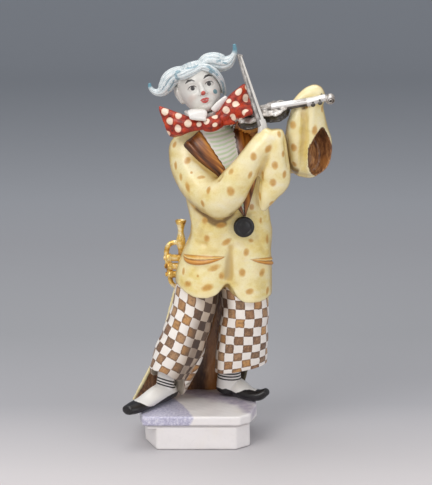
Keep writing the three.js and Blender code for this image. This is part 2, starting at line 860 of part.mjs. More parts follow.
// ---------------------------------------------------------------- violin, its long axis towards the clown's raised hand
const VIOLIN_X = V(0.955, -0.13, 0.27).normalize();
const VIOLIN_TOP = V(-0.16, -0.46, 0.88);
const VIOLIN_AT = V(45.2, -34.4, 233.8);
const halfWidth = (t) => {
  // t from 0 at the end button to 1 at the neck
  const belly = 9.4 * Math.sqrt(Math.max(0, 1 - Math.pow((t - 0.3) / 0.3, 2))) * (t < 0.56 ? 1 : 0);
  const upper = 8.6 * Math.sqrt(Math.max(0, 1 - Math.pow((t - 0.76) / 0.24, 2))) * (t > 0.5 ? 1 : 0);
  return Math.max(belly, upper, t > 0.03 && t < 0.97 ? 5.6 + 0.5 * Math.cos((t - 0.52) * 9) : 0);
};
{
  const n = 12,
    edge = [];
  for (let i = 0; i <= n; i++) {
    const t = 0.5 - 0.5 * Math.cos((i / n) * Math.PI);
    edge.push([(t - 0.5) * VIOLIN_BODY, Math.max(1.2, halfWidth(t))]);
  }
  const outline = [...edge, ...edge.slice().reverse().map(([x, y]) => [x, -y])];
  const shape = new THREE.Shape(outline.map(([x, y]) => new THREE.Vector2(x, y)));
  const g = new THREE.ExtrudeGeometry(shape, {
    depth: VIOLIN_THICK - 2,
    bevelEnabled: true,
    bevelSize: 0.8,
    bevelThickness: 1,
    bevelOffset: -0.8,
    bevelSegments: 1,
  });
  g.translate(0, 0, -VIOLIN_THICK / 2);
  add("violin_body", place(g, VIOLIN_AT, VIOLIN_X, VIOLIN_TOP));
}
const onViolin = (x, y, z) => {
  const top = VIOLIN_TOP.clone().addScaledVector(VIOLIN_X, -VIOLIN_TOP.dot(VIOLIN_X)).normalize();
  return VIOLIN_AT.clone().addScaledVector(VIOLIN_X, x).addScaledVector(top.clone().cross(VIOLIN_X), y).addScaledVector(top, z);
};
const bar = (from, to, w, h, up) => {
  const g = new THREE.BoxGeometry(from.distanceTo(to), w, h);
  return place(g, from.clone().add(to).multiplyScalar(0.5), to.clone().sub(from), up);
};
add("violin_neck", bar(onViolin(7.4, 0, 3.8), onViolin(33, 0, 0.8), 4.8, 5, VIOLIN_TOP));
add("violin_bridge", bar(onViolin(-4.5, 0, 3.4), onViolin(-2.7, 0, 3.4), 7.4, 5, VIOLIN_TOP));
add("violin_tailpiece", bar(onViolin(-16.8, 0, 3), onViolin(-6.4, 0, 3.5), 4.4, 3, VIOLIN_TOP));
add("peg_box", bar(onViolin(30.6, 0, 0.8), onViolin(43.8, 0, 0.6), 8.2, 6, VIOLIN_TOP));
{
  const roll = new THREE.TorusGeometry(2.2, 1.4, 6, 10);
  add("scroll_outer", place(roll, onViolin(46.2, 0, -1.4), VIOLIN_X, VIOLIN_TOP.clone().cross(VIOLIN_X)));
  const eye = new THREE.CylinderGeometry(1.8, 1.8, 5.6, 8).rotateX(Math.PI / 2);
  add("scroll_eye", place(eye, onViolin(46.2, 0, -1.4), VIOLIN_X, VIOLIN_TOP.clone().cross(VIOLIN_X)));
}
for (const [x, side] of [
  [37.2, 1],
  [41.2, 1],
  [35, -1],
  [39.8, -1],
]) {
  const peg = new THREE.CylinderGeometry(1.1, 1.1, 4.4, 6);
  add(`peg_${side > 0 ? "up" : "down"}_${x}`, place(peg, onViolin(x, side > 0 ? 5.8 : -4.9, 1.2), VIOLIN_X, VIOLIN_TOP));
}

// ---------------------------------------------------------------- bow: stick and hair side by side, held by its white frog
const BOW_TIP = V(30, -14, 272),
  BOW_FROG = V(44.8, -46, 227);
add("bow", bar(BOW_TIP, BOW_FROG, BOW_W, BOW_T, V(0, -1, 0.6)));
add(
  "frog",
  loft(
    [
      [43.9, -43.6, 231.4, 2.7, 1.5],
      [44.8, -45.2, 227.6, 3.1, 2.2],
      [44.8, -46, 223.4, 3.2, 2.8],
      [44.2, -46, 219, 3.6, 3.4],
    ],
    { seg: 12, rings: 5, ref: ACROSS },
  ),
);

// ---------------------------------------------------------------- trumpet in the coat's side
const TRUMPET_Y = 4.5;
add(
  "mouthpiece",
  new THREE.LatheGeometry(
    [
      [0, 154.6],
      [1.6, 155],
      [3.6, 155.4],
      [3.9, 154.4],
      [3.2, 152.6],
      [2.3, 149],
      [2.2, 146.4],
      [3.1, 142.5],
      [3.4, 139.6],
      [2.8, 136],
      [1.9, 133.4],
      [1.9, 120],
      [0, 120],
    ].map(([r, z]) => new THREE.Vector2(r, z)),
    10,
  )
    .rotateX(Math.PI / 2)
    .translate(-10.6, TRUMPET_Y, 0),
);
add(
  "trumpet_crook",
  loft(
    [
      [-10, TRUMPET_Y, 137.6, PIPE_R, PIPE_R],
      [-14.4, TRUMPET_Y, 139.4, PIPE_R, PIPE_R],
      [-18.6, TRUMPET_Y, 138, PIPE_R * 1.1, PIPE_R],
      [-20.6, TRUMPET_Y, 133.6, PIPE_R * 1.1, PIPE_R],
      [-20.4, TRUMPET_Y, 127, PIPE_R, PIPE_R],
      [-19, TRUMPET_Y, 119, PIPE_R, PIPE_R],
      [-17.6, TRUMPET_Y + 0.5, 111, PIPE_R, PIPE_R],
      [-14, TRUMPET_Y + 1, 107.6, PIPE_R, PIPE_R],
      [-9, TRUMPET_Y + 1, 107, PIPE_R, PIPE_R],
    ],
    { seg: 8, rings: 12, ref: ACROSS },
  ),
);
[128.4, 122.4, 116.6].forEach((z, i) =>
  add(
    `valve_${i + 1}`,
    new THREE.CylinderGeometry(2.7, 2.7, 16, 8).rotateZ(Math.PI / 2).translate(-13.4 + i * 0.6, TRUMPET_Y, z),
  ),
);

// ---------------------------------------------------------------- one fired piece
let whole = parts[0][1];
for (const [, s] of parts.slice(1)) whole = whole.add(s);
const mesh = whole.getMesh();
const geometry = new THREE.BufferGeometry();
const xyz = new Float32Array((mesh.vertProperties.length / mesh.numProp) * 3);
for (let i = 0; i < xyz.length / 3; i++)
  for (let k = 0; k < 3; k++) xyz[i * 3 + k] = mesh.vertProperties[i * mesh.numProp + k];
geometry.setAttribute("position", new THREE.BufferAttribute(xyz, 3));
geometry.setIndex(new THREE.BufferAttribute(new Uint32Array(mesh.triVerts), 1));
geometry.computeVertexNormals();

const glaze = new THREE.MeshStandardMaterial({ color: 0xe9dcb4, roughness: 0.15, metalness: 0 });
glaze.name = "glazed_porcelain";
const figure = new THREE.Mesh(geometry, glaze);
figure.name = "clown_figurine";

const group = new THREE.Group();
group.name = "porcelain_clown";
group.add(figure);
export default group;
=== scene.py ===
import math
import bpy
import numpy as np
from mathutils import Matrix, Vector
from mathutils.bvhtree import BVHTree


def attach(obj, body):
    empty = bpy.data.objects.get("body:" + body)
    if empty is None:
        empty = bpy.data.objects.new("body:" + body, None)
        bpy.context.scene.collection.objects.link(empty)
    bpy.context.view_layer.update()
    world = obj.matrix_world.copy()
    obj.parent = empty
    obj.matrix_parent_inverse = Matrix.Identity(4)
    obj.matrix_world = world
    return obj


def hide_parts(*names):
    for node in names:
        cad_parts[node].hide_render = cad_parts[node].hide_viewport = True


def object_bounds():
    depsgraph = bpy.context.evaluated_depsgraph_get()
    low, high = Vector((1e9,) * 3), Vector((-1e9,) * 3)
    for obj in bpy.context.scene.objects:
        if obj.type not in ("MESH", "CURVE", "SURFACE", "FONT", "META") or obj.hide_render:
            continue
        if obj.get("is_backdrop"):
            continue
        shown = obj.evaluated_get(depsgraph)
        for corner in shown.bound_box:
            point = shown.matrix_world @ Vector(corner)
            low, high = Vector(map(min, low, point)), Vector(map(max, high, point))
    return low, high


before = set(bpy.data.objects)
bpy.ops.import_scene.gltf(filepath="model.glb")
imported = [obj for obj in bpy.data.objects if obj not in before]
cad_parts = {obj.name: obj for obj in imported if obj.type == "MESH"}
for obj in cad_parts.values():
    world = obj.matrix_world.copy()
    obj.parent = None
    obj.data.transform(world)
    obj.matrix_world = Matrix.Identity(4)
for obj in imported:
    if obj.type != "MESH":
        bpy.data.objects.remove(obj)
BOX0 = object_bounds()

MM = 0.001
NODE = "clown_figurine"
RNG = np.random.default_rng(11)

# ------------------------------------------------------------------ camera of the photograph (432 x 485)
W, H = 432, 485
ELEV = math.radians(11.0)
DIST = 1200.0
SCALE = 0.698  # mm per pixel at the target
FOCAL = DIST / SCALE
TARGET = np.array([14.0, 0.0, 140.2])
FWD = np.array([0, math.cos(ELEV), -math.sin(ELEV)])
UP = np.array([0, math.sin(ELEV), math.cos(ELEV)])
RIGHT = np.array([1.0, 0, 0])
CAM = TARGET - DIST * FWD

scene = bpy.context.scene
cam_data = bpy.data.cameras.new("camera")
cam = bpy.data.objects.new("camera", cam_data)
scene.collection.objects.link(cam)
cam_data.sensor_width = 36
cam_data.sensor_fit = "AUTO"
cam_data.lens = FOCAL * 36 / H
cam_data.clip_start = 0.05
cam_data.clip_end = 30
cam.location = Vector(CAM * MM)
cam.rotation_euler = (math.radians(90) - ELEV, 0, 0)
scene.camera = cam


def pixel_dir(px, py):
    d = FWD + (px - W / 2) / FOCAL * RIGHT - (py - H / 2) / FOCAL * UP
    return d / np.linalg.norm(d)


def at_depth(px, py, y):
    """The point on a pixel's line of sight at depth y, in mm."""
    d = pixel_dir(px, py)
    return CAM + d * ((y - CAM[1]) / d[1])


# ------------------------------------------------------------------ small tools
def smooth(a, b, x):
    t = np.clip((np.asarray(x, float) - a) / (b - a), 0, 1)
    return t * t * (3 - 2 * t)


def bump(x, c, w):
    return np.exp(-((np.asarray(x, float) - c) ** 2) / (w * w))


def unit(v):
    v = np.asarray(v, float)
    return v / (np.linalg.norm(v, axis=-1, keepdims=True) + 1e-12)


def rail(rows, s):
    """Rows of numbers read along a smooth curve through them."""
    P = np.asarray(rows, float)
    n = len(P)
    s = np.clip(np.atleast_1d(np.asarray(s, float)), 0, 1)
    t = s * (n - 1)
    i = np.minimum(np.floor(t).astype(int), n - 2)
    w = (t - i)[:, None]
    E = np.vstack([2 * P[0] - P[1], P, 2 * P[-1] - P[-2]])
    p0, p1, p2, p3 = E[i], E[i + 1], E[i + 2], E[i + 3]
    v0, v1 = 0.5 * (p2 - p0), 0.5 * (p3 - p1)
    return (2 * p1 - 2 * p2 + v0 + v1) * w**3 + (-3 * p1 + 3 * p2 - 2 * v0 - v1) * w**2 + v0 * w + p1


class Shape:
    """Vertices (mm), faces, and named numbers per vertex."""

    def __init__(self, v, f, /, **attr):
        self.v = np.asarray(v, float)
        self.f = f
        self.attr = {k: np.asarray(a, float) for k, a in attr.items()}

    def join(self, *others):
        v, f, n = [self.v], list(self.f), len(self.v)
        keys = set(self.attr)
        for o in others:
            keys |= set(o.attr)
        attr = {k: [self.attr.get(k, np.zeros(len(self.v)))] for k in keys}
        for o in others:
            f += [tuple(i + n for i in q) for q in o.f]
            n += len(o.v)
            v.append(o.v)
            for k in keys:
                attr[k].append(o.attr.get(k, np.zeros(len(o.v))))
        return Shape(np.vstack(v), f, **{k: np.concatenate(a) for k, a in attr.items()})

    def moved(self, M):
        R, t = np.array(M)[:3, :3], np.array(M)[:3, 3]
        return Shape(self.v @ R.T + t, self.f, **self.attr)


def grid_faces(nr, nc, closed=True, start=0):
    f = []
    for j in range(nr - 1):
        a = start + j * nc
        for i in range(nc if closed else nc - 1):
            b = (i + 1) % nc
            f.append((a + i, a + b, a + b + nc, a + i + nc))
    return f


def outward(v, f):
    """Turns the faces so that the body's volume is positive."""
    vol = 0.0
    for q in f:
        a = v[q[0]]
        for k in range(1, len(q) - 1):
            vol += np.dot(a, np.cross(v[q[k]], v[q[k + 1]]))
    return f if vol > 0 else [tuple(reversed(q)) for q in f]


def loft(rows, seg=64, rings=80, ref=(0, 1, 0), flat=False, dome_a=0.0, dome_b=0.0, fold=None, warp=None, span=(0, 1), steps=8):
    """A body swept along rows [x, y, z, a, b, n, roll], closed at both ends. a lies across `ref`, b along it."""
    R = np.array([list(r) + [2.0, 0.0][len(r) - 5 :] if len(r) < 7 else list(r) for r in rows], float)
    s = np.linspace(span[0], span[1], rings + 1)
    off = np.zeros(len(s))
    k = np.ones(len(s))
    if dome_a:
        w = np.linspace(math.pi / 2, 0, steps + 1)[1:-1]
        s = np.concatenate([np.full(len(w), span[0]), s])
        off = np.concatenate([-dome_a * np.sin(w), off])
        k = np.concatenate([np.cos(w), k])
    if dome_b:
        w = np.linspace(0, math.pi / 2, steps + 1)[1:-1]
        s = np.concatenate([s, np.full(len(w), span[1])])
        off = np.concatenate([off, dome_b * np.sin(w)])
        k = np.concatenate([k, np.cos(w)])
    Q = rail(R, s)
    c = Q[:, :3]
    if flat:
        t = np.tile([0.0, 0, 1], (len(s), 1))
        ref = np.array([0.0, 1, 0])
    else:
        t = unit(rail(R, s + 0.004)[:, :3] - rail(R, s - 0.004)[:, :3])
        ref = np.asarray(ref, float)
    b = unit(ref - t * (t @ ref)[:, None])
    a = unit(np.cross(b, t))
    th = np.arange(seg) / seg * 2 * math.pi + 1e-3
    ca, sa = np.abs(np.cos(th))[None], np.abs(np.sin(th))[None]
    n = Q[:, 5:6]
    r = ((ca / Q[:, 3:4]) ** n + (sa / Q[:, 4:5]) ** n) ** (-1 / n)
    T, S = np.broadcast_to(th, r.shape), np.broadcast_to(s[:, None], r.shape)
    if fold is not None:
        r = r + fold(T, S)
    r = r * k[:, None]
    u = T + np.radians(Q[:, 6:7])
    P = (
        c[:, None]
        + a[:, None] * (np.cos(u) * r)[..., None]
        + b[:, None] * (np.sin(u) * r)[..., None]
        + t[:, None] * off[:, None, None]
    )
    if warp is not None:
        P = warp(P, T, S)
    nr = len(s)
    pa, pb = P[0].mean(0), P[-1].mean(0)
    if dome_a:
        pa = pa - t[0] * (dome_a * (1 - math.cos(math.pi / 2 / steps)))
    if dome_b:
        pb = pb + t[-1] * (dome_b * (1 - math.cos(math.pi / 2 / steps)))
    v = np.vstack([P.reshape(-1, 3), pa, pb])
    f = grid_faces(nr, seg)
    A, B, last = nr * seg, nr * seg + 1, (nr - 1) * seg
    f += [(A, (i + 1) % seg, i) for i in range(seg)]
    f += [(B, last + i, last + (i + 1) % seg) for i in range(seg)]
    # arc length round each ring, from the front (-b side), and the length along the sweep, in mm
    ring = np.concatenate([P, P[:, :1]], 1)
    arc = np.concatenate([np.zeros((nr, 1)), np.cumsum(np.linalg.norm(np.diff(ring, axis=1), axis=2), 1)], 1)
    q = int(round(0.75 * seg))
    arc = arc[:, :-1] - arc[:, q : q + 1]
    step = np.linalg.norm(np.diff(c + t * off[:, None], axis=0), axis=1)
    along = np.concatenate([[0], np.cumsum(step)])
    along = np.broadcast_to(along[:, None], r.shape)
    pad = lambda x: np.concatenate([x.reshape(-1), [x[0].mean(), x[-1].mean()]])
    return Shape(v, outward(v, f), u=pad(arc), v=pad(along), th=pad(T), s=pad(S))


def sheet(at, nu, nv, thick, out):
    """A cloth of a given thickness (mm): at(u, v) is its inner face, out the side it is thickened to."""
    U, V_ = np.meshgrid(np.linspace(0, 1, nu + 1), np.linspace(0, 1, nv + 1))
    e = 1e-3
    P = at(U, V_)
    du = at(np.minimum(U + e, 1), V_) - at(np.maximum(U - e, 0), V_)
    dv = at(U, np.minimum(V_ + e, 1)) - at(U, np.maximum(V_ - e, 0))
    n = unit(np.cross(du, dv))
    o = np.asarray(out, float)
    n = n * np.sign((n * o).sum(-1, keepdims=True) + 1e-12)
    th = np.asarray(thick(U, V_) if callable(thick) else np.full(U.shape, float(thick)))[..., None]
    top = P + n * th
    w = nu + 1
    m = w * (nv + 1)
    v = np.vstack([P.reshape(-1, 3), top.reshape(-1, 3)])
    f = grid_faces(nv + 1, w, closed=False)
    f += [tuple(reversed(q)) for q in grid_faces(nv + 1, w, closed=False, start=m)]
    edge = (
        [i for i in range(nu)]
        + [j * w + nu for j in range(nv)]
        + [nv * w + i for i in range(nu, 0, -1)]
        + [j * w for j in range(nv, 0, -1)]
    )
    for k in range(len(edge)):
        a, b = edge[k], edge[(k + 1) % len(edge)]
        f.append((a, m + a, m + b, b))
    face = np.concatenate([np.zeros(m), np.ones(m)])
    return Shape(v, outward(v, f), u=np.tile(U.reshape(-1), 2), v=np.tile(V_.reshape(-1), 2), face=face)


def fill_mesh(name, v, f):
    me = bpy.data.meshes.new(name)
    sizes = np.array([len(q) for q in f], np.int32)
    loops = np.fromiter((i for q in f for i in q), np.int32, int(sizes.sum()))
    me.vertices.add(len(v))
    me.vertices.foreach_set("co", np.asarray(v, np.float32).reshape(-1))
    me.loops.add(len(loops))
    me.loops.foreach_set("vertex_index", loops)
    me.polygons.add(len(sizes))
    starts = np.concatenate([[0], np.cumsum(sizes)[:-1]]).astype(np.int32)
    me.polygons.foreach_set("loop_start", starts)
    me.update(calc_edges=True)
    me.validate()
    return me


def read_mesh(me):
    v = np.empty(len(me.vertices) * 3, np.float32)
    me.vertices.foreach_get("co", v)
    loops = np.empty(len(me.loops), np.int32)
    me.loops.foreach_get("vertex_index", loops)
    tot = np.empty(len(me.polygons), np.int32)
    me.polygons.foreach_get("loop_total", tot)
    st = np.concatenate([[0], np.cumsum(tot)])
    f = [tuple(loops[st[i] : st[i + 1]].tolist()) for i in range(len(tot))]
    return v.reshape(-1, 3).astype(float), f


def voxel(shape, size):
    """One skin round all the closed bodies of a shape."""
    me = fill_mesh("work", shape.v, shape.f)
    ob = bpy.data.objects.new("work", me)
    scene.collection.objects.link(ob)
    m = ob.modifiers.new("skin", "REMESH")
    m.mode = "VOXEL"
    m.voxel_size = size
    m.adaptivity = 0
    dg = bpy.context.evaluated_depsgraph_get()
    me2 = bpy.data.meshes.new_from_object(ob.evaluated_get(dg))
    v, f = read_mesh(me2)
    bpy.data.objects.remove(ob)
    bpy.data.meshes.remove(me)
    bpy.data.meshes.remove(me2)
    return Shape(v, f)


def cut(shape, tool):
    """shape minus tool."""
    obs = []
    for s in (shape, tool):
        ob = bpy.data.objects.new("work", fill_mesh("work", s.v, s.f))
        scene.collection.objects.link(ob)
        obs.append(ob)
    m = obs[0].modifiers.new("cut", "BOOLEAN")
    m.operation = "DIFFERENCE"
    m.solver = "EXACT"
    m.object = obs[1]
    dg = bpy.context.evaluated_depsgraph_get()
    me2 = bpy.data.meshes.new_from_object(obs[0].evaluated_get(dg))
    v, f = read_mesh(me2)
    for ob in obs:
        bpy.data.objects.remove(ob)
    return Shape(v, f)


def edges_of(f):
    pairs = set()
    for q in f:
        n = len(q)
        for k in range(n):
            a, b = q[k], q[(k + 1) % n]
            pairs.add((a, b) if a < b else (b, a))
    return np.array(sorted(pairs))


def mean_of_neighbours(x, E, n):
    x = np.asarray(x, float)
    one = x.ndim == 1
    X = x[:, None] if one else x
    out = np.zeros_like(X)
    deg = np.bincount(E[:, 0], minlength=n) + np.bincount(E[:, 1], minlength=n)
    for k in range(X.shape[1]):
        out[:, k] = np.bincount(E[:, 0], X[E[:, 1], k], n) + np.bincount(E[:, 1], X[E[:, 0], k], n)
    out /= np.maximum(deg, 1)[:, None]
    return out[:, 0] if one else out


def relax(v, E, times, keep=0.5):
    """Evens a skin out without shrinking it much."""
    for _ in range(times):
        v = v + keep * (mean_of_neighbours(v, E, len(v)) - v)
        v = v - (keep + 0.02) * (mean_of_neighbours(v, E, len(v)) - v)
    return v


def soften(v, E, times, keep=0.5):
    for _ in range(times):
        v = v + keep * (mean_of_neighbours(v, E, len(v)) - v)
    return v


def normals(v, f):
    q = np.array([(a[0], a[1], a[2], a[3] if len(a) > 3 else a[0]) for a in f])
    n = np.cross(v[q[:, 2]] - v[q[:, 0]], v[q[:, 3]] - v[q[:, 1]])
    tri = q[:, 3] == q[:, 0]
    n[tri] = np.cross(v[q[tri, 1]] - v[q[tri, 0]], v[q[tri, 2]] - v[q[tri, 0]])
    out = np.zeros_like(v)
    for k in range(4):
        for c in range(3):
            out[:, c] += np.bincount(q[:, k], n[:, c], len(v))
    return unit(out)


def make(name, shape, material, smooth_faces=True):
    me = fill_mesh(name, shape.v * MM, shape.f)
    for k, a in shape.attr.items():
        at = me.attributes.new(k, "FLOAT", "POINT")
        at.data.foreach_set("value", a.astype(np.float32))
    me.polygons.foreach_set("use_smooth", np.full(len(me.polygons), smooth_faces))
    me.materials.append(material)
    ob = bpy.data.objects.new(name, me)
    scene.collection.objects.link(ob)
    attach(ob, "root")
    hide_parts(NODE)
    return ob


def frame_at(position, axis_x, axis_z):
    z = unit(axis_z)
    x = np.asarray(axis_x, float)
    x = unit(x - z * (x @ z))
    M = np.eye(4)
    M[:3, 0], M[:3, 1], M[:3, 2], M[:3, 3] = x, np.cross(z, x), z, position
    return M


def noise3(p, scale, seed=0):
    """Smooth repeatable noise of points, about -1 to 1."""
    r = np.random.default_rng(seed)
    out = np.zeros(len(p))
    for _ in range(7):
        d = unit(r.normal(size=3)) * r.uniform(0.6, 1.5) / scale
        out += np.sin(p @ d * 2 * math.pi + r.uniform(0, 6.28))
    return out / 3.2


# ------------------------------------------------------------------ materials
def lin(r, g, b):
    return tuple(((c / 255) / 12.92 if c / 255 <= 0.04045 else ((c / 255 + 0.055) / 1.055) ** 2.4) for c in (r, g, b)) + (1.0,)


class Mat:
    def __init__(self, name, rough=0.32, metal=0.0, coat=0.3):
        self.m = bpy.data.materials.new(name)
        self.m.use_nodes = True
        self.t = self.m.node_tree
        self.b = self.t.nodes["Principled BSDF"]
        self.b.inputs["Roughness"].default_value = rough
        self.b.inputs["Metallic"].default_value = metal
        self.b.inputs["Coat Weight"].default_value = coat
        self.b.inputs["Coat Roughness"].default_value = 0.14
        self.b.inputs["IOR"].default_value = 1.5

    def n(self, kind, **k):
        node = self.t.nodes.new(kind)
        for a, b in k.items():
            setattr(node, a, b)
        return node

    def put(self, socket, x):
        if hasattr(x, "links") or hasattr(x, "is_output"):
            self.t.links.new(x, socket)
        else:
            socket.default_value = x

    def attr(self, name):
        return self.n("ShaderNodeAttribute", attribute_name=name).outputs["Fac"]

    def pos(self):
        return self.n("ShaderNodeTexCoord").outputs["Object"]

    def xyz(self, v=None):
        s = self.n("ShaderNodeSeparateXYZ")
        self.put(s.inputs[0], v if v is not None else self.pos())
        return s.outputs

    def vec(self, x, y, z=0.0):
        c = self.n("ShaderNodeCombineXYZ")
        for i, a in enumerate((x, y, z)):
            self.put(c.inputs[i], a)
        return c.outputs[0]

    def math(self, op, *a, clamp=False):
        m = self.n("ShaderNodeMath", operation=op, use_clamp=clamp)
        for i, x in enumerate(a):
            self.put(m.inputs[i], x)
        return m.outputs[0]

    def noise(self, scale, detail=3.0, rough=0.5, vec=None, distort=0.0):
        m = self.n("ShaderNodeTexNoise")
        m.inputs["Scale"].default_value = scale
        m.inputs["Detail"].default_value = detail
        m.inputs["Roughness"].default_value = rough
        m.inputs["Distortion"].default_value = distort
        self.put(m.inputs["Vector"], vec if vec is not None else self.pos())
        return m.outputs["Fac"]

    def white(self, vec):
        m = self.n("ShaderNodeTexWhiteNoise", noise_dimensions="3D")
        self.put(m.inputs["Vector"], vec)
        return m.outputs["Value"]

    def band(self, x, lo, hi, a=0.0, b=1.0):
        m = self.n("ShaderNodeMapRange", interpolation_type="SMOOTHSTEP")
        for i, q in enumerate((x, lo, hi, a, b)):
            self.put(m.inputs[i], q)
        return m.outputs[0]

    def mix(self, fac, a, b, blend="MIX"):
        m = self.n("ShaderNodeMix", data_type="RGBA", blend_type=blend, clamp_factor=True)
        self.put(m.inputs[0], fac)
        self.put(m.inputs[6], a)
        self.put(m.inputs[7], b)
        return m.outputs[2]

    def ramp(self, fac, stops):
        m = self.n("ShaderNodeValToRGB")
        e = m.color_ramp.elements
        while len(e) < len(stops):
            e.new(0.5)
        for k, (p, c) in zip(e, stops):
            k.position, k.color = p, c
        self.put(m.inputs[0], fac)
        return m.outputs[0]

    def color(self, c):
        self.put(self.b.inputs["Base Color"], c)

    def bumps(self, height, strength=0.2, distance=0.0004):
        m = self.n("ShaderNodeBump")
        m.inputs["Strength"].default_value = strength
        m.inputs["Distance"].default_value = distance
        self.put(m.inputs["Height"], height)
        self.t.links.new(m.outputs[0], self.b.inputs["Normal"])


WHITE = lin(236, 232, 227)
WHITE_COOL = lin(224, 224, 224)
WHITE_WARM = lin(238, 231, 220)


def porcelain_white(m, warm=0.5):
    """Glazed white with the slight greyish and creamy drift of a fired body."""
    a = m.mix(m.noise(60, 3), WHITE_COOL, WHITE_WARM)
    return m.mix(m.band(m.noise(220, 2), 0.35, 0.7, 0.0, 0.35), a, WHITE)


def glaze(m, strength=0.12):
    m.bumps(m.noise(260, 2, 0.5), strength, 0.00025)


def brown_streaks(m, u, v, dark=0.5):
    """Brush strokes of brown enamel along v."""
    s = m.noise(1.0, 2, 0.45, m.vec(m.math("MULTIPLY", u, 0.42), m.math("MULTIPLY", v, 0.045), 0.0))
    s = m.math("ADD", s, m.math("MULTIPLY", m.math("SUBTRACT", m.noise(1.0, 3, 0.6, m.vec(m.math("MULTIPLY", u, 1.6), m.math("MULTIPLY", v, 0.1), 4.0)), 0.5), 0.22))
    s = m.math("ADD", s, m.math("MULTIPLY", m.attr("gold"), 0.3))
    c = m.ramp(
        s,
        [
            (0.30, lin(60, 30, 8)),
            (0.45, lin(104, 56, 18)),
            (0.60, lin(150, 88, 30)),
            (0.80, lin(206, 140, 58)),
        ],
    )
    return c


def mat_coat():
    m = Mat("coat_glaze", rough=0.36)
    p = m.pos()
    x, y, z = m.xyz(p)
    wob = m.math("MULTIPLY", m.math("SUBTRACT", m.noise(420, 3), 0.5), 0.9)
    wash = m.noise(1.0, 4, 0.6, m.vec(m.math("MULTIPLY", x, 70.0), m.math("MULTIPLY", y, 70.0), m.math("MULTIPLY", z, 110.0)))
    base = m.ramp(wash, [(0.28, lin(216, 184, 94)), (0.42, lin(230, 208, 130)), (0.55, lin(238, 222, 162)), (0.72, lin(241, 231, 196))])
    base = m.mix(m.band(m.noise(26, 3, 0.55), 0.40, 0.70, 0.0, 0.55), base, lin(240, 230, 190))
    base = m.mix(m.band(m.noise(48, 3, 0.55), 0.52, 0.75, 0.0, 0.3), base, lin(220, 216, 158))
    base = m.mix(m.band(m.noise(62, 3, 0.55), 0.55, 0.78, 0.0, 0.25), base, lin(240, 210, 164))
    fine = m.noise(900, 2)
    base = m.mix(m.band(fine, 0.45, 0.8, 0, 0.25), base, lin(206, 180, 104))
    # broad hollows darken to ochre and ridges pale to cream: partly the painter's own fold shading, partly painted
    # shade and painted light
    deep = m.math("ADD", m.attr("deep"), m.math("MULTIPLY", m.math("SUBTRACT", wash, 0.5), 0.7))
    base = m.mix(m.band(deep, -0.1, -0.9, 0.0, 0.4), base, lin(243, 234, 198))
    base = m.mix(m.band(deep, 0.15, 1.0, 0.0, 0.8), base, lin(196, 160, 78))
    # painted shade: darker ochre where the surface turns away from view, towards its outline
    rim = m.n("ShaderNodeLayerWeight")
    rim.inputs["Blend"].default_value = 0.5
    base = m.mix(m.band(m.math("ADD", rim.outputs["Facing"], m.math("MULTIPLY", wob, 0.2)), 0.42, 0.95, 0.0, 0.75), base, lin(180, 142, 58))
    # painted shade in the creases, in ochre
    hollow = m.band(m.math("ADD", m.attr("hollow"), m.math("MULTIPLY", wob, 0.35)), 0.15, 1.8)
    base = m.mix(m.math("MULTIPLY", hollow, 0.42), base, lin(168, 138, 70))
    shade = m.math("ADD", m.attr("shade"), m.math("MULTIPLY", wob, 0.25))
    base = m.mix(m.band(shade, 0.12, 1.0, 0.0, 0.9), base, lin(116, 84, 34))
    # painted shade beside the ridge of the front opening
    grey = m.attr("greyed")
    base = m.mix(m.band(m.math("ADD", grey, m.math("MULTIPLY", wob, 0.4)), 0.05, 1.1, 0.0, 0.38), base, lin(170, 162, 138))
    blot = m.math("ADD", m.attr("blot"), m.math("MULTIPLY", wob, 0.42))
    tone = m.attr("tone")
    spot = m.mix(tone, lin(200, 146, 50), lin(214, 172, 88))
    spot = m.mix(m.band(m.noise(330, 4, 0.6), 0.38, 0.7), spot, lin(190, 130, 38))
    spot = m.mix(m.band(blot, 0.3, 0.75, 0.0, 0.5), spot, lin(178, 120, 34))
    base = m.mix(m.math("MULTIPLY", m.band(blot, -0.24, 0.46), 0.84), base, spot)
    lining = m.attr("lining")
    streak = m.ramp(
        m.noise(1.0, 4, 0.62, m.vec(m.math("MULTIPLY", x, 520.0), m.math("MULTIPLY", y, 300.0), m.math("MULTIPLY", z, 160.0))),
        [(0.26, lin(74, 44, 26)), (0.42, lin(122, 78, 46)), (0.56, lin(170, 120, 74)), (0.74, lin(214, 164, 108))],
    )
    # painted shade on the lining: darker between the legs and deep inside the sleeve
    streak = m.mix(m.band(m.attr("umber"), 0.0, 1.0, 0.0, 0.85), streak, lin(58, 40, 32))
    streak = m.mix(m.band(m.attr("amber"), 0.0, 1.0, 0.0, 0.7), streak, lin(186, 122, 58))
    base = m.mix(m.band(lining, -0.12, 0.12), base, streak)
    line = m.math("SUBTRACT", 1.0, m.math("ABSOLUTE", m.math("MULTIPLY", lining, 3.2)), clamp=True)
    base = m.mix(m.math("MULTIPLY", line, 0.75), base, lin(52, 32, 18))
    pocket = m.attr("pocket")
    # the pocket's lips, with a painted highlight along the upper lip and painted shade in the slit between them
    slit = m.ramp(
        m.math("ADD", m.attr("pocket_v"), m.math("MULTIPLY", wob, 0.16)),
        [(0.0, lin(186, 128, 40)), (0.2, lin(216, 160, 62)), (0.36, lin(250, 222, 150)), (0.47, lin(140, 88, 28)), (0.64, lin(216, 152, 62)), (1.0, lin(180, 116, 36))],
    )
    base = m.mix(m.band(m.math("ADD", pocket, m.math("MULTIPLY", wob, 0.2)), -0.15, 0.15), base, slit)
    line2 = m.math("SUBTRACT", 1.0, m.math("ABSOLUTE", m.math("MULTIPLY", pocket, 2.6)), clamp=True)
    base = m.mix(m.math("MULTIPLY", line2, 0.35), base, lin(140, 84, 30))
    # painted shadow on the tail behind the left ankle
    base = m.mix(m.band(m.attr("dusk"), 0.0, 1.0, 0.0, 0.9), base, lin(52, 46, 32))
    m.color(base)
    glaze(m)
    return m.m


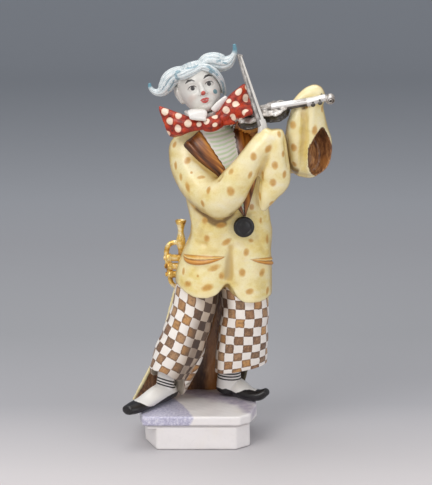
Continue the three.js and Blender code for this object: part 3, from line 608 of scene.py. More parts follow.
def mat_check():
    m = Mat("checked_cloth_glaze", rough=0.38)
    u, v, shade = m.attr("u"), m.attr("v"), m.attr("shade")
    wob = m.math("ADD", m.math("MULTIPLY", m.math("SUBTRACT", m.noise(260, 2), 0.5), 1.1), m.math("MULTIPLY", m.math("SUBTRACT", m.noise(90, 2), 0.5), 2.2))
    wob2 = m.math("MULTIPLY", m.math("SUBTRACT", m.noise(230, 2, 0.5, m.vec(m.attr("v"), m.attr("u"), 3.0)), 0.5), 0.0)
    uu = m.math("DIVIDE", m.math("ADD", m.math("ADD", u, wob), wob2), 6.5)
    vv = m.math("DIVIDE", m.math("ADD", v, wob), 6.8)
    iu, iv = m.math("FLOOR", uu), m.math("FLOOR", vv)
    fu, fv = m.math("FRACT", uu), m.math("FRACT", vv)
    odd = m.math("MODULO", m.math("ABSOLUTE", m.math("ADD", iu, iv)), 2.0)
    rnd = m.white(m.vec(iu, iv, m.attr("leg")))
    painted = m.ramp(
        rnd,
        [
            (0.0, lin(92, 66, 52)),
            (0.2, lin(160, 112, 72)),
            (0.4, lin(208, 152, 84)),
            (0.6, lin(126, 92, 72)),
            (0.8, lin(200, 156, 108)),
            (1.0, lin(86, 64, 56)),
        ],
    )
    du = m.math("MINIMUM", fu, m.math("SUBTRACT", 1.0, fu))
    dv = m.math("MINIMUM", fv, m.math("SUBTRACT", 1.0, fv))
    d = m.math("MINIMUM", du, dv)
    brush = m.noise(1.0, 3, 0.6, m.vec(m.math("MULTIPLY", u, 0.9), m.math("MULTIPLY", v, 0.35), m.math("MULTIPLY", rnd, 9.0)))
    painted = m.mix(m.band(brush, 0.4, 0.75, 0, 0.45), painted, lin(204, 168, 130))
    painted = m.mix(m.band(m.noise(330, 4, 0.65), 0.46, 0.66, 0, 0.55), painted, lin(98, 70, 50))
    painted = m.mix(m.band(m.noise(700, 3, 0.6), 0.55, 0.7, 0, 0.4), painted, lin(214, 168, 112))
    painted = m.mix(m.band(m.math("ADD", d, m.math("MULTIPLY", m.math("SUBTRACT", brush, 0.5), 0.25)), 0.02, 0.24, 0.6, 0.0), painted, lin(96, 68, 50))
    clear = m.mix(m.noise(150, 3), lin(250, 245, 239), lin(239, 230, 220))
    clear = m.mix(m.band(brush, 0.5, 0.8, 0, 0.35), clear, lin(226, 208, 186))
    dim = m.mix(m.noise(200, 3), lin(164, 146, 128), lin(132, 114, 98))
    clear = m.mix(shade, clear, m.mix(m.band(rnd, 0.2, 0.8), dim, lin(186, 168, 148)))
    painted = m.mix(shade, painted, m.mix(rnd, lin(62, 44, 34), lin(96, 74, 56)))
    c = m.mix(odd, clear, painted)
    line = m.band(m.math("ADD", d, m.math("MULTIPLY", m.math("SUBTRACT", m.noise(500, 2), 0.5), 0.08)), 0.02, 0.075, 0.75, 0.0)
    c = m.mix(m.math("MULTIPLY", line, m.math("ADD", m.math("MULTIPLY", odd, 0.3), 0.04)), c, lin(112, 84, 64))
    # painted shade on the open flap at the right hem: greyed, with dark and light fold stripes
    fold = m.noise(1.0, 2, 0.5, m.vec(m.math("MULTIPLY", u, 0.9), m.math("MULTIPLY", v, 0.06), 2.0))
    pleat = m.mix(m.band(fold, 0.4, 0.6), lin(120, 104, 90), lin(206, 192, 176))
    c = m.mix(m.band(m.attr("pleat"), 0.2, 0.8, 0.0, 0.85), c, pleat)
    # painted shade inside each hem, in greyed beige
    hem = m.attr("hem")
    c = m.mix(m.band(hem, -0.1, 0.1), c, m.mix(m.noise(240, 3), lin(196, 186, 170), lin(158, 142, 122)))
    m.color(c)
    glaze(m)
    return m.m


def mat_white(name="white_glaze", tint=None, base=0.0):
    m = Mat(name, rough=0.32)
    c = porcelain_white(m)
    if base:
        c = m.mix(base, c, lin(*tint))
    if tint:
        c = m.mix(m.band(m.noise(90, 2), 0.4, 0.75, 0, 0.4), c, lin(*tint))
    m.color(c)
    glaze(m, 0.08)
    return m.m


def mat_brown(name="brown_glaze"):
    m = Mat(name, rough=0.4, coat=0.2)
    c = brown_streaks(m, m.attr("u"), m.attr("v"))
    e = m.attr("edge")
    c = m.mix(m.band(m.math("ADD", e, m.math("MULTIPLY", m.math("SUBTRACT", m.noise(200, 2), 0.5), 0.5)), 0.25, 1.3, 0.7, 0.0), c, lin(64, 36, 14))
    m.color(c)
    glaze(m)
    return m.m


def mat_shirt():
    m = Mat("shirt_glaze", rough=0.36)
    c = porcelain_white(m)
    u, v = m.attr("u"), m.attr("v")
    w_ = m.math("SUBTRACT", m.attr("across"), 0.5)
    wave = m.math("ADD", m.math("MULTIPLY", m.math("MULTIPLY", w_, w_), 5.0), m.math("MULTIPLY", m.math("SUBTRACT", m.noise(120, 2), 0.5), 1.6))
    t = m.math("FRACT", m.math("DIVIDE", m.math("ADD", v, wave), 3.0))
    stripe = m.math("ABSOLUTE", m.math("SUBTRACT", t, 0.5))
    wob = m.math("MULTIPLY", m.math("SUBTRACT", m.noise(500, 2), 0.5), 0.12)
    rim = m.math("SUBTRACT", 0.5, m.math("ABSOLUTE", w_))
    on = m.band(m.math("ADD", rim, m.math("MULTIPLY", wob, 0.4)), 0.04, 0.15)
    c = m.mix(m.math("MULTIPLY", m.band(m.math("ADD", stripe, wob), 0.08, 0.38, 0.85, 0.0), on), c, m.mix(m.noise(300), lin(182, 206, 162), lin(204, 220, 182)))
    m.color(c)
    glaze(m)
    return m.m


def mat_dots():
    m = Mat("dotted_bow_glaze", rough=0.42, coat=0.1)
    n = m.noise(230, 4, 0.65)
    red = m.ramp(n, [(0.32, lin(86, 16, 2)), (0.45, lin(148, 32, 2)), (0.58, lin(184, 48, 4)), (0.76, lin(208, 88, 28))])
    dot = m.math("ADD", m.attr("dot"), m.math("MULTIPLY", m.math("SUBTRACT", m.noise(420, 2), 0.5), 0.25))
    cream = m.mix(m.noise(300, 2), lin(236, 212, 186), lin(238, 224, 208))
    ring = m.band(m.math("ABSOLUTE", dot), 0.0, 0.3, 0.65, 0.0)
    c = m.mix(m.band(dot, -0.04, 0.1), red, cream)
    c = m.mix(m.band(dot, 0.08, 0.4, 0.6, 0.0), c, m.mix(m.band(dot, -0.04, 0.1), c, lin(236, 176, 140)))
    c = m.mix(m.band(m.math("ABSOLUTE", m.math("ADD", dot, 0.16)), 0.0, 0.2, 0.6, 0.0), c, lin(104, 22, 6))
    # painted shade in the folds of the bow, in dark red
    c = m.mix(m.band(m.attr("hollow"), 0.1, 0.9, 0.0, 0.7), c, lin(104, 22, 10))
    m.color(c)
    glaze(m)
    return m.m


def mat_hair():
    m = Mat("hair_glaze", rough=0.36)
    base = m.mix(m.noise(120, 3), lin(236, 237, 234), lin(214, 219, 220))
    u, v = m.attr("u"), m.attr("v")
    s = m.noise(1.0, 3, 0.6, m.vec(m.math("MULTIPLY", u, 3.6), m.math("MULTIPLY", v, 0.42), m.attr("lock")))
    stroke = m.band(s, 0.50, 0.585)
    gate = m.band(m.noise(1.0, 2, 0.5, m.vec(m.math("MULTIPLY", u, 0.5), m.math("MULTIPLY", v, 0.3), 7.0)), 0.36, 0.52)
    blue = m.mix(m.noise(400), lin(96, 138, 152), lin(150, 180, 190))
    c = m.mix(m.math("MULTIPLY", m.math("MULTIPLY", stroke, gate), 0.8), base, blue)
    c = m.mix(m.math("MULTIPLY", m.band(s, 0.42, 0.54), 0.25), c, lin(172, 190, 196))
    dark = m.math("MULTIPLY", m.attr("stroke"), m.band(m.noise(1.0, 2, 0.5, m.vec(m.math("MULTIPLY", u, 1.4), m.math("MULTIPLY", v, 0.5), 3.0)), 0.34, 0.52, 0.25, 1.0))
    c = m.mix(m.math("MULTIPLY", m.band(m.math("ADD", dark, m.math("MULTIPLY", m.math("SUBTRACT", m.noise(300, 3), 0.5), 0.9)), 0.15, 0.85), 0.8), c, m.mix(m.noise(500), lin(76, 122, 140), lin(112, 154, 168)))
    tip = m.attr("tip")
    c = m.mix(m.band(m.math("ADD", tip, m.math("MULTIPLY", m.math("SUBTRACT", m.noise(300), 0.5), 0.5)), 0.08, 0.7, 0, 0.9), c, lin(62, 132, 152))
    # painted shade in the grooves between the locks
    c = m.mix(m.band(m.attr("hollow"), 0.1, 0.9, 0.0, 0.6), c, lin(146, 164, 172))
    m.color(c)
    glaze(m)
    return m.m


def mat_face():
    m = Mat("face_glaze", rough=0.34)
    c = porcelain_white(m)
    c = m.mix(0.62, c, lin(200, 198, 190))
    c = m.mix(m.band(m.attr("blush"), 0.0, 1.0, 0, 0.35), c, lin(214, 186, 172))
    # painted shade in the hollows of the face, in grey
    c = m.mix(m.band(m.attr("hollow"), 0.1, 1.0, 0, 0.5), c, lin(176, 172, 170))
    for name, col in (
        ("cheek_dot", lin(96, 140, 148)),
        ("nose_dot", lin(196, 76, 62)),
        ("lips", lin(186, 52, 44)),
        ("lip_line", lin(120, 26, 26)),
        ("iris", lin(22, 18, 20)),
        ("brow", lin(34, 26, 26)),
        ("lash", lin(58, 50, 50)),
    ):
        a = m.math("ADD", m.attr(name), m.math("MULTIPLY", m.math("SUBTRACT", m.noise(900, 2), 0.5), 0.18))
        c = m.mix(m.band(a, -0.12, 0.12, 0.0, 0.95), c, col)
    m.color(c)
    glaze(m, 0.06)
    return m.m


def mat_plinth():
    m = Mat("plinth_glaze", rough=0.34)
    c = m.mix(m.noise(30, 3), lin(244, 239, 237), lin(236, 231, 230))
    c = m.mix(m.band(m.noise(60, 4, 0.6), 0.45, 0.75, 0, 0.5), c, lin(240, 233, 226))
    c = m.mix(m.band(m.noise(400, 2), 0.5, 0.8, 0, 0.15), c, lin(210, 207, 208))
    wob = m.math("MULTIPLY", m.math("SUBTRACT", m.noise(110, 4), 0.5), 2.2)
    speck = m.noise(620, 3, 0.7)
    blue = m.ramp(speck, [(0.3, lin(166, 162, 186)), (0.5, lin(194, 191, 212)), (0.68, lin(226, 223, 232))])
    rose = m.ramp(m.noise(260, 4, 0.6), [(0.3, lin(160, 148, 174)), (0.5, lin(190, 178, 196)), (0.72, lin(216, 206, 216))])
    c = m.mix(m.band(m.math("ADD", m.attr("blue"), m.math("MULTIPLY", wob, 0.35)), -0.3, 0.5), c, blue)
    c = m.mix(m.band(m.math("ADD", m.attr("rose"), wob), -0.6, 1.3, 0, 0.9), c, rose)
    # painted shadow under the slab's overhang, in grey
    c = m.mix(m.band(m.attr("groove"), 0.1, 1.0, 0.0, 0.5), c, lin(150, 146, 144))
    m.color(c)
    glaze(m, 0.08)
    return m.m


def mat_shoe():
    m = Mat("shoe_glaze", rough=0.36, coat=0.12)
    c = porcelain_white(m)
    wob = m.math("MULTIPLY", m.math("SUBTRACT", m.noise(260, 3), 0.5), 1.3)
    black = m.mix(m.noise(200, 3), lin(9, 7, 8), lin(26, 20, 22))
    # painted shade in the hollows, in grey
    c = m.mix(m.band(m.attr("hollow"), 0.1, 1.0, 0, 0.5), c, lin(170, 166, 166))
    c = m.mix(m.band(m.math("ADD", m.attr("black"), wob), -0.18, 0.18), c, black)
    c = m.mix(m.band(m.math("ADD", m.attr("rings"), m.math("MULTIPLY", wob, 0.25)), -0.12, 0.12), c, black)
    m.color(c)
    glaze(m, 0.06)
    return m.m


def mat_metal(name, dark, mid, light, rough=0.3, metal=0.75, deep=None):
    m = Mat(name, rough=rough, metal=metal, coat=0.3)
    n = m.noise(180, 4, 0.6)
    c = m.ramp(n, [(0.3, lin(*dark)), (0.5, lin(*mid)), (0.7, lin(*light))])
    # painted shade in hollows and under the violin, in the deep colour; on the violin the same darkening also gives its
    # real dark pegs and sound holes
    c = m.mix(m.band(m.attr("hollow"), 0.1, 0.9, 0.0, 0.92), c, lin(*(deep or [int(x * 0.45) for x in dark])))
    c = m.mix(m.attr("pale"), c, m.mix(m.noise(200, 2), lin(226, 223, 220), lin(240, 238, 234)))
    m.color(c)
    m.bumps(m.math("ADD", m.noise(500, 3), m.math("MULTIPLY", m.noise(170, 3), 0.8)), 0.4, 0.0004)
    return m.m


def mat_black():
    m = Mat("black_glaze", rough=0.42, coat=0.08)
    m.color(m.mix(m.noise(160, 3), lin(10, 8, 9), lin(24, 20, 20)))
    glaze(m, 0.1)
    return m.m


def with_hollow(shape, soft=3, gain=6.0, E=None):
    """Adds how hollow each place is, so that the materials can darken there: painted shade in creases and recesses."""
    if E is None:
        E = edges_of(shape.f)
    n = normals(shape.v, shape.f)
    length = np.linalg.norm(shape.v[E[:, 0]] - shape.v[E[:, 1]], axis=1).mean()
    d = ((mean_of_neighbours(shape.v, E, len(shape.v)) - shape.v) * n).sum(1) / (length**1.5)
    for _ in range(soft):
        d = mean_of_neighbours(d, E, len(d))
    shape.attr["hollow"] = np.clip(d * gain, 0, 2)
    return shape


def finish_skin(shape, size, even=4, soft=1):
    s = voxel(shape, size)
    E = edges_of(s.f)
    s.v = relax(s.v, E, even)
    s.v = soften(s.v, E, soft)
    return s, E


# ------------------------------------------------------------------ reading the photograph's pixels on a skin
def to_px(v):
    d = v - CAM
    w = d @ FWD
    return W / 2 + FOCAL * (d @ RIGHT) / w, H / 2 - FOCAL * (d @ UP) / w


def tree_of(shape):
    return BVHTree.FromPolygons([Vector(p) for p in shape.v], shape.f)


def hit(tree, px, py):
    """The first point of a skin on a pixel's line of sight, and its normal."""
    d = Vector(pixel_dir(px, py))
    p, n, i, dist = tree.ray_cast(Vector(CAM), d)
    if p is None:
        return None
    n = np.array(n)
    if n @ np.array(d) > 0:
        n = -n
    return np.array(p), n


def line_gap(u, v, pts):
    """Distance in pixels from each (u, v) to a polyline, and how far along it the nearest point lies (0 to 1)."""
    P = np.asarray(pts, float)
    best = np.full(u.shape, 1e9)
    along = np.zeros(u.shape)
    L = np.concatenate([[0], np.cumsum(np.linalg.norm(np.diff(P, axis=0), axis=1))])
    for k in range(len(P) - 1):
        a, b = P[k], P[k + 1]
        d = b - a
        t = np.clip(((u - a[0]) * d[0] + (v - a[1]) * d[1]) / (d @ d), 0, 1)
        g = np.hypot(u - a[0] - t * d[0], v - a[1] - t * d[1])
        m = g < best
        best[m] = g[m]
        along[m] = (L[k] + t[m] * (L[k + 1] - L[k])) / L[-1]
    return best, along


def spots(shape, n, tree, marks, name="dot", tone=None, reach=0.25):
    """Painted ovals: marks are [px, py, half-width, half-height, lean in degrees] in pixels, or 3-D [point, normal, a, b, lean]."""
    val = shape.attr.get(name)
    if val is None:
        val = np.full(len(shape.v), -1.0)
    tv = shape.attr.get(tone) if tone else None
    if tone and tv is None:
        tv = np.full(len(shape.v), 0.5)
    for k, mk in enumerate(marks):
        if len(mk) == 5 and not np.isscalar(mk[0]):
            c, nn, a, b, lean = mk
        else:
            r = hit(tree, mk[0], mk[1])
            if r is None:
                continue
            c, nn = r
            s = SCALE * (1 + (c[1]) / DIST)
            a, b = mk[2] * s, mk[3] * s
            lean = mk[4] if len(mk) > 4 else 0
        x = unit(np.cross(UP, nn)) if abs(nn @ UP) < 0.95 else RIGHT
        if x @ RIGHT < 0 and abs(x @ RIGHT) > 0.2:
            x = -x
        y = unit(np.cross(nn, x))
        if y @ UP < 0:
            y = -y
        w = math.radians(lean)
        ax, ay = x * math.cos(w) + y * math.sin(w), -x * math.sin(w) + y * math.cos(w)
        near = np.where(np.abs(shape.v - c).max(1) < 2.2 * max(a, b) + 2)[0]
        if not len(near):
            continue
        q = shape.v[near] - c
        e = 1 - np.sqrt((q @ ax / a) ** 2 + (q @ ay / b) ** 2 + (np.maximum(np.abs(q @ nn) - 2.0, 0) / 1.5) ** 2)
        e = np.where((n[near] @ nn) > reach, e, -1.0)
        better = e > val[near]
        val[near[better]] = e[better]
        if tone:
            tv[near[e > -0.3]] = (k * 0.618) % 1.0
    shape.attr[name] = val
    if tone:
        shape.attr[tone] = tv
    return shape


# ------------------------------------------------------------------ coat: jacket, arms, wide sleeves and tail in one skin
def jacket_hem(x):
    return 6 * bump(x, -17, 7) - 3 * bump(x, 3, 10) + 7.5 * bump(x, 22, 5.2) - 6.4 * smooth(22, 36, x) + 1.8 * smooth(45, 53, x)


def panel_out(x):
    return 2.6 * bump(x, 4, 9) - 3.4 * bump(x, 22, 6) + 2.6 * bump(x, 42, 9)


def jacket_warp(P, T, S):
    x, y = P[..., 0], P[..., 1].copy()
    low = 1 - smooth(0, 0.16, S)
    front = smooth(2, -12, y)
    P[..., 1] -= (1 - smooth(0, 0.36, S)) * front * panel_out(x)
    P[..., 2] += low * (0.35 + 0.65 * front) * jacket_hem(x)
    return P


def jacket_fold(T, S):
    # soft vertical flutes of the skirt, stronger at the back and sides
    low = 1 - smooth(0.05, 0.5, S)
    back = smooth(-0.2, 0.8, np.sin(T))
    waist = bump(S, 0.36, 0.12)
    return low * (0.35 + 0.9 * back) * np.sin(T * 7 + 1.0) + 0.5 * waist * np.sin(T * 11 + S * 20) * smooth(-1.2, 0.2, np.sin(T))


jacket = loft(
    [
        [19, -7, 109.5, 33.6, 22, 2.3],
        [19.4, -7, 122, 33.2, 21, 2.2],
        [21.5, -7, 135, 31, 20, 2.2],
        [24.3, -7.5, 150, 28, 18.5, 2.2],
        [22, -7, 170, 28, 18.5, 2.2],
        [18, -6, 188, 30.5, 19, 2.2],
        [14.5, -5, 205, 33, 18, 2.2],
        [12.5, -5, 216, 26.5, 14.5, 2.1],
        [10.5, -6, 223, 14, 11.5, 2],
    ],
    seg=180,
    rings=120,
    flat=True,
    warp=jacket_warp,
    fold=jacket_fold,
)

TAIL = [
    [150, 6, 2, 43, 2, 6],
    [131, -7, 5, 49, 5, 10.5],
    [104, -15.4, 8, 50.5, 9, 15.5],
    [78, -22.2, 8, 49.5, 14, 21],
    [52, -30.8, 8, 39.8, 24, 27],
    [22.6, -45.8, 10, 33, 31.5, 33],
]


def tail_at(u, v):
    q = rail(TAIL, v.reshape(-1)).reshape(v.shape + (6,))
    z, xl, yl, xr, yr, ym = [q[..., k] for k in range(6)]
    lift = 4 * u * (1 - u) * (ym - (yl + yr) / 2)
    flute = 1.7 * v * np.sin(u * math.pi * 5) * smooth(0, 0.12, u) * smooth(1, 0.88, u)
    flute = flute + 0.5 * v * np.sin(u * math.pi * 13 + 2 * v) * smooth(0, 0.1, u) * smooth(1, 0.9, u)
    return np.stack([xl + (xr - xl) * u, yl + (yr - yl) * u + lift + flute, z], -1)


def tail_thick(u, v):
    return 3.4 * (0.55 + 0.45 * smooth(0, 0.08, u) * smooth(1, 0.92, u))


tail = sheet(tail_at, 130, 150, tail_thick, (0, 1, 0))
ROUND = dict(seg=72, rings=60, ref=(0, 1, 0))
arm_r = loft(
    [[-5.5, -5, 207, 13, 13.5], [-4.4, -10, 196, 12.8, 14], [1.6, -18, 185.4, 13, 14], [8.4, -25, 178.8, 12.6, 13.5], [13.5, -29, 175.6, 12, 12.5]],
    dome_a=8, dome_b=6, **ROUND,
)
forearm_r = loft(
    [
        [11, -29.5, 178, 11.6, 12],
        [16, -34, 176.8, 13.4, 12.6],
        [22.6, -38, 181.8, 12.2, 12],
        [28, -41, 190.4, 10.6, 11.4],
        [34, -43, 199, 9.4, 10.4],
        [40.3, -44.5, 208.6, 8.7, 9.6],
        [46.5, -45, 216.4, 8.2, 8.8],
        [49.8, -45, 221.4, 7.2, 8],
    ],
    dome_a=8, dome_b=4, **ROUND,
)
cuff_r = loft(
    [
        [52.2, -44, 223.6, 6.4, 6.8],
        [53.2, -44, 216.4, 7.6, 8.6],
        [54, -43, 206.6, 8.2, 9.6],
        [53.7, -42, 197.7, 9.8, 9.6],
        [53.0, -41.5, 190.4, 10.3, 8.6],
        [49.8, -41.3, 183.4, 7.9, 7.2],
        [46.9, -41, 176, 4.9, 5.6],
        [45.4, -41, 170.8, 2.2, 3],
    ],
    dome_a=1.8, dome_b=1.2, **ROUND,
)
arm_l = loft([[40, -4, 205, 14, 14], [54, -9, 203, 13, 13.5], [66, -15, 203, 11.6, 12.5], [76, -20, 206, 11, 12]], dome_a=6, dome_b=6, **ROUND)


def sleeve_warp(P, T, S):
    x, y = P[..., 0], P[..., 1]
    P[..., 1] = y + 2.2 * bump(x, 73.4, 2.4) * smooth(-18, -28, y)
    return P


sleeve_l = loft(
    [
        [75, -20, 192.6, 8.6, 8],
        [75.4, -21, 197.2, 13.2, 12],
        [76, -23, 204.6, 16, 13.5],
        [76, -25, 213, 16.2, 13.6],
        [75.2, -27, 223, 14.4, 13],
        [75.4, -29, 232, 12.2, 11.4],
        [76.4, -30, 239.6, 10, 9.6],
        [78.4, -31, 245.4, 8.2, 8.2],
    ],
    seg=110, rings=110, ref=(0, 1, 0), dome_a=2.4, dome_b=5, warp=sleeve_warp,
)
MOUTH = [[85.5, 224.6], [90.6, 216], [93.4, 207.6], [91.2, 198.6], [86.4, 193], [81.2, 191.6], [77.6, 195.6], [75.9, 202.6], [76.2, 210], [78.8, 217], [82.2, 222]]


def mouth_tool(n=96):
    """The hollow of the open sleeve: its pointed outline pushed inwards, closing towards the arm."""
    P = np.array(MOUTH)
    m = len(P)
    t = np.arange(n) / n * m
    i = np.floor(t).astype(int)
    w_ = (t - i)[:, None]
    a, b, c, d = P[(i - 1) % m], P[i % m], P[(i + 1) % m], P[(i + 2) % m]
    v0, v1 = 0.5 * (c - a), 0.5 * (d - b)
    o = (2 * b - 2 * c + v0 + v1) * w_**3 + (-3 * b + 3 * c - 2 * v0 - v1) * w_**2 + v0 * w_ + b
    mid_ = np.array([84.4, 207.5])
    rows = [(-60, 1.06, 0), (-40, 1.0, 0), (-34, 1.0, 0), (-30, 1.0, 0), (-27, 0.98, -0.5), (-24, 0.93, -1.8), (-21, 0.84, -3.4), (-18.4, 0.68, -5), (-16.6, 0.45, -6), (-16, 0.15, -6.4)]
    R_ = np.array([np.column_stack([mid_[0] + (o[:, 0] - mid_[0]) * k + dx, np.full(n, y), mid_[1] + (o[:, 1] - mid_[1]) * k]) for y, k, dx in rows])
    v = np.vstack([R_.reshape(-1, 3), R_[0].mean(0), R_[-1].mean(0)])
    nr = len(rows)
    f = grid_faces(nr, n) + [(nr * n, (i + 1) % n, i) for i in range(n)] + [(nr * n + 1, (nr - 1) * n + i, (nr - 1) * n + (i + 1) % n) for i in range(n)]
    return Shape(v, outward(v, f))


mouth = mouth_tool()
sleeve_end = loft(
    [[80.6, -31, 243, 6.6, 7], [79.6, -33, 247.6, 6.2, 6], [73, -34, 245.6, 4.6, 4.6], [67, -35, 241.2, 2.8, 3.4]],
    seg=56, rings=50, ref=(0, 1, 0), dome_a=3, dome_b=2,
)
sleeve_tree = tree_of(sleeve_l)
open_sleeve = cut(sleeve_l, mouth)

coat, coat_E = finish_skin(
    Shape(jacket.v, jacket.f).join(
        Shape(tail.v, tail.f), Shape(arm_r.v, arm_r.f), Shape(forearm_r.v, forearm_r.f), Shape(cuff_r.v, cuff_r.f),
        Shape(arm_l.v, arm_l.f), open_sleeve, Shape(sleeve_end.v, sleeve_end.f),
    ),
    0.88,
    even=3,
    soft=2,
)

# soften the joins between arms and body, keeping the edges of the tail and the sleeve's mouth
n0 = normals(coat.v, coat.f)
hole = ((mean_of_neighbours(coat.v, coat_E, len(coat.v)) - coat.v) * n0).sum(1)
w = smooth(0.02, 0.12, hole)
for _ in range(3):
    w = mean_of_neighbours(w, coat_E, len(w))
w = np.clip(w * 2.0, 0, 1)[:, None]
for _ in range(6):
    coat.v = coat.v + 0.6 * w * (mean_of_neighbours(coat.v, coat_E, len(coat.v)) - coat.v)

# the elbow runs on from the upper arm into the forearm as one rounded bend
far = np.linalg.norm((coat.v - np.array([9.0, -32.0, 180.0])) / np.array([19.0, 15.0, 15.0]), axis=1)
w = (smooth(1.15, 0.6, far) * (coat.v[:, 1] < -20))[:, None]
far = np.linalg.norm((coat.v - np.array([44.0, 2.0, 203.0])) / np.array([13.0, 15.0, 17.0]), axis=1)
w = np.maximum(w, (smooth(1.15, 0.5, far) * smooth(-14, -8, coat.v[:, 1]))[:, None])
for _ in range(90):
    coat.v = coat.v + 0.5 * w * (mean_of_neighbours(coat.v, coat_E, len(coat.v)) - coat.v)

# creases and ridges seen in the photograph: [points in pixels, depth in mm, half-width in pixels, front limit y]
CREASES = [
    ([(269, 150), (262.5, 164), (258.5, 178), (257.5, 196), (260, 213)], -1.0, 4.2),
    ([(273, 152), (267, 166), (264, 182)], 0.5, 3.4),
    ([(299, 104), (304.6, 120), (303.0, 142), (301.0, 158), (300, 170)], -2.0, 3.8),
    ([(290, 112), (292, 132), (295, 154), (296.5, 167)], 1.7, 5.0),
    ([(285, 134), (287, 152), (290, 172)], -1.1, 2.8),
    ([(312, 104), (311, 118), (308, 134)], 0.9, 4.0),
    ([(230.5, 241), (229.5, 262), (228, 284)], -0.8, 3.6),
    ([(238.5, 244), (237, 262), (236.5, 286)], 0.8, 3.2),
    ([(222, 173), (219.5, 178), (217, 182)], -1.0, 1.8),
    ([(246, 218), (252, 212), (258, 214)], -0.4, 2.5),
    ([(190, 236), (198, 242), (210, 244)], -0.4, 2.6),
    ([(170, 150), (176, 170), (186, 188)], -0.3, 3.5),
    ([(256, 232), (262, 246), (266, 256)], -0.5, 3.0),
    ([(309, 101), (306, 104), (303, 110)], -0.9, 2.0),
    ([(196, 224), (206, 230), (216, 231)], 0.5, 2.4),
]
n0 = normals(coat.v, coat.f)
PX, PY = to_px(coat.v)
facing = smooth(0.0, 0.45, -(n0 @ FWD))
lift = np.zeros(len(coat.v))
for pts, depth, half in CREASES:
    g, along = line_gap(PX, PY, pts)
    fade = smooth(0, 0.18, along) * smooth(1, 0.82, along)
    lift += depth * np.exp(-((g / half) ** 2)) * fade * facing
# pocket slits: chord from left to right, how far its upper and lower edge sag, and where along it is thickest
LENSES = [
    ((183.6, 253.6), (225, 256.6), 0.8, 10.6, (0.34, 0.85)),
    ((250.5, 259.4), (276.5, 255.2), 0.8, 8.8, (0.85, 0.14)),
]
pocket = np.full(len(coat.v), -1.0)
pocket_v = np.zeros(len(coat.v))
front_y = coat.v[:, 1] < -4
for (x0, y0), (x1, y1), top, bot, (rise, fall) in LENSES:
    t = np.clip((PX - x0) / (x1 - x0), 0, 1)
    peak = rise / (rise + fall)
    q = t**rise * (1 - t) ** fall / (peak**rise * (1 - peak) ** fall)
    base = y0 + (y1 - y0) * t
    up, dn = base + top * q, base + bot * q
    d = np.minimum(np.minimum(PY - up, dn - PY), np.minimum(PX - x0, x1 - PX) + 0.6)
    on = (facing > 0.05) & front_y
    pocket[on] = np.maximum(pocket[on], np.clip(d[on] / 2.2, -1, 1))
    across = np.clip((PY - up) / np.maximum(dn - up, 0.8), 0, 1)
    pocket_v = np.where(on & (d > -3), across, pocket_v)
    body = smooth(-1.2, 1.2, d)
    lips = 0.9 * bump(across, 0.26, 0.2) + 1.5 * bump(across, 0.78, 0.24)
    lift += np.where(on, body * lips * (0.35 + 0.65 * q), 0)
    slit = np.exp(-(((across - 0.5) / 0.1) ** 2)) * smooth(-0.5, 0.8, d)
    lift -= np.where(on, 0.5 * slit, 0)
# on the sides and the back, soft folds fanning down from the shoulders and the waist
back = smooth(0.15, -0.5, -(n0 @ FWD))
zz, xx, yy = coat.v[:, 2], coat.v[:, 0], coat.v[:, 1]
ang = np.arctan2(yy + 5, xx - 20)
up_body = smooth(138, 160, zz) * smooth(215, 195, zz) * (np.abs(xx - 20) < 36)
lift += back * up_body * 0.55 * np.sin(ang * 9 + zz * 0.05 + 1.5 * noise3(coat.v, 40, 3))
lift += back * bump(zz, 152, 9) * 0.8 * np.sin(zz * 0.55 + xx * 0.12) * (np.abs(xx - 20) < 34)
lift += 0.10 * noise3(coat.v, 9, 5) + 0.16 * noise3(coat.v, 26, 6)
coat.v = coat.v + n0 * lift[:, None]
coat.v = soften(coat.v, coat_E, 1, 0.4)
coat = with_hollow(coat, soft=6, gain=4.6, E=coat_E)
n0 = normals(coat.v, coat.f)
# broad hollows and ridges of the coat, for its painted shade and painted light
wide = coat.v.copy()
for _ in range(44):
    wide = mean_of_neighbours(wide, coat_E, len(wide))
deep = ((wide - coat.v) * n0).sum(1)
coat.attr["deep"] = np.clip((deep + 0.35) / 0.9, -1.5, 2)
on_sleeve = (coat.v[:, 0] > 58) & (coat.v[:, 2] > 176)
on_cuff = (coat.v[:, 0] > 36) & (coat.v[:, 1] < -28) & (coat.v[:, 2] > 160) & ~on_sleeve
coat.attr["hollow"] *= np.where(on_sleeve, 0.34, np.where(on_cuff, 0.4, 1.0))
coat.attr["deep"] = np.where((on_sleeve | on_cuff) & (coat.attr["deep"] > 0), 0.62 * np.tanh(coat.attr["deep"] / 1.1), coat.attr["deep"])
coat_tree = tree_of(coat)

# painted shade in the deeper places: under the elbow, in the sleeve's fold, below the violin's neck
crease_shade = np.zeros(len(coat.v))
for pts, half, deep_ in (
    ([(193, 205.5), (200, 211), (208, 217.5), (216, 222), (223, 221.5), (229, 217), (236, 210)], 2.6, 1.1),
    ([(206, 218), (213, 223.5), (221, 225.5), (228, 222)], 2.8, 0.95),
    ([(300, 108), (304.4, 122), (303.4, 142), (301, 158), (300, 172)], 2.6, 0.34),
    ([(284.5, 128), (286, 148), (288, 164), (291, 174)], 2.6, 0.75),
    ([(309, 101.5), (305, 105), (302.5, 110)], 2.4, 0.85),
    ([(286.5, 155), (288.5, 163), (293, 169.5), (300, 172.5)], 3.4, 1.0),
    ([(222, 173), (219.5, 178), (217, 182)], 1.2, 0.8),
):
    g_, al_ = line_gap(PX, PY, pts)
    on = np.where(coat.v[:, 1] > -31, 1.0, 0.5) if pts[0][0] < 240 else ((coat.v[:, 0] > 64) | ((coat.v[:, 0] > 60) & (coat.v[:, 1] > -36))).astype(float)
    crease_shade = np.maximum(crease_shade, on * deep_ * np.exp(-((g_ / half) ** 2)) * smooth(-0.02, 0.12, al_) * smooth(1.02, 0.88, al_))
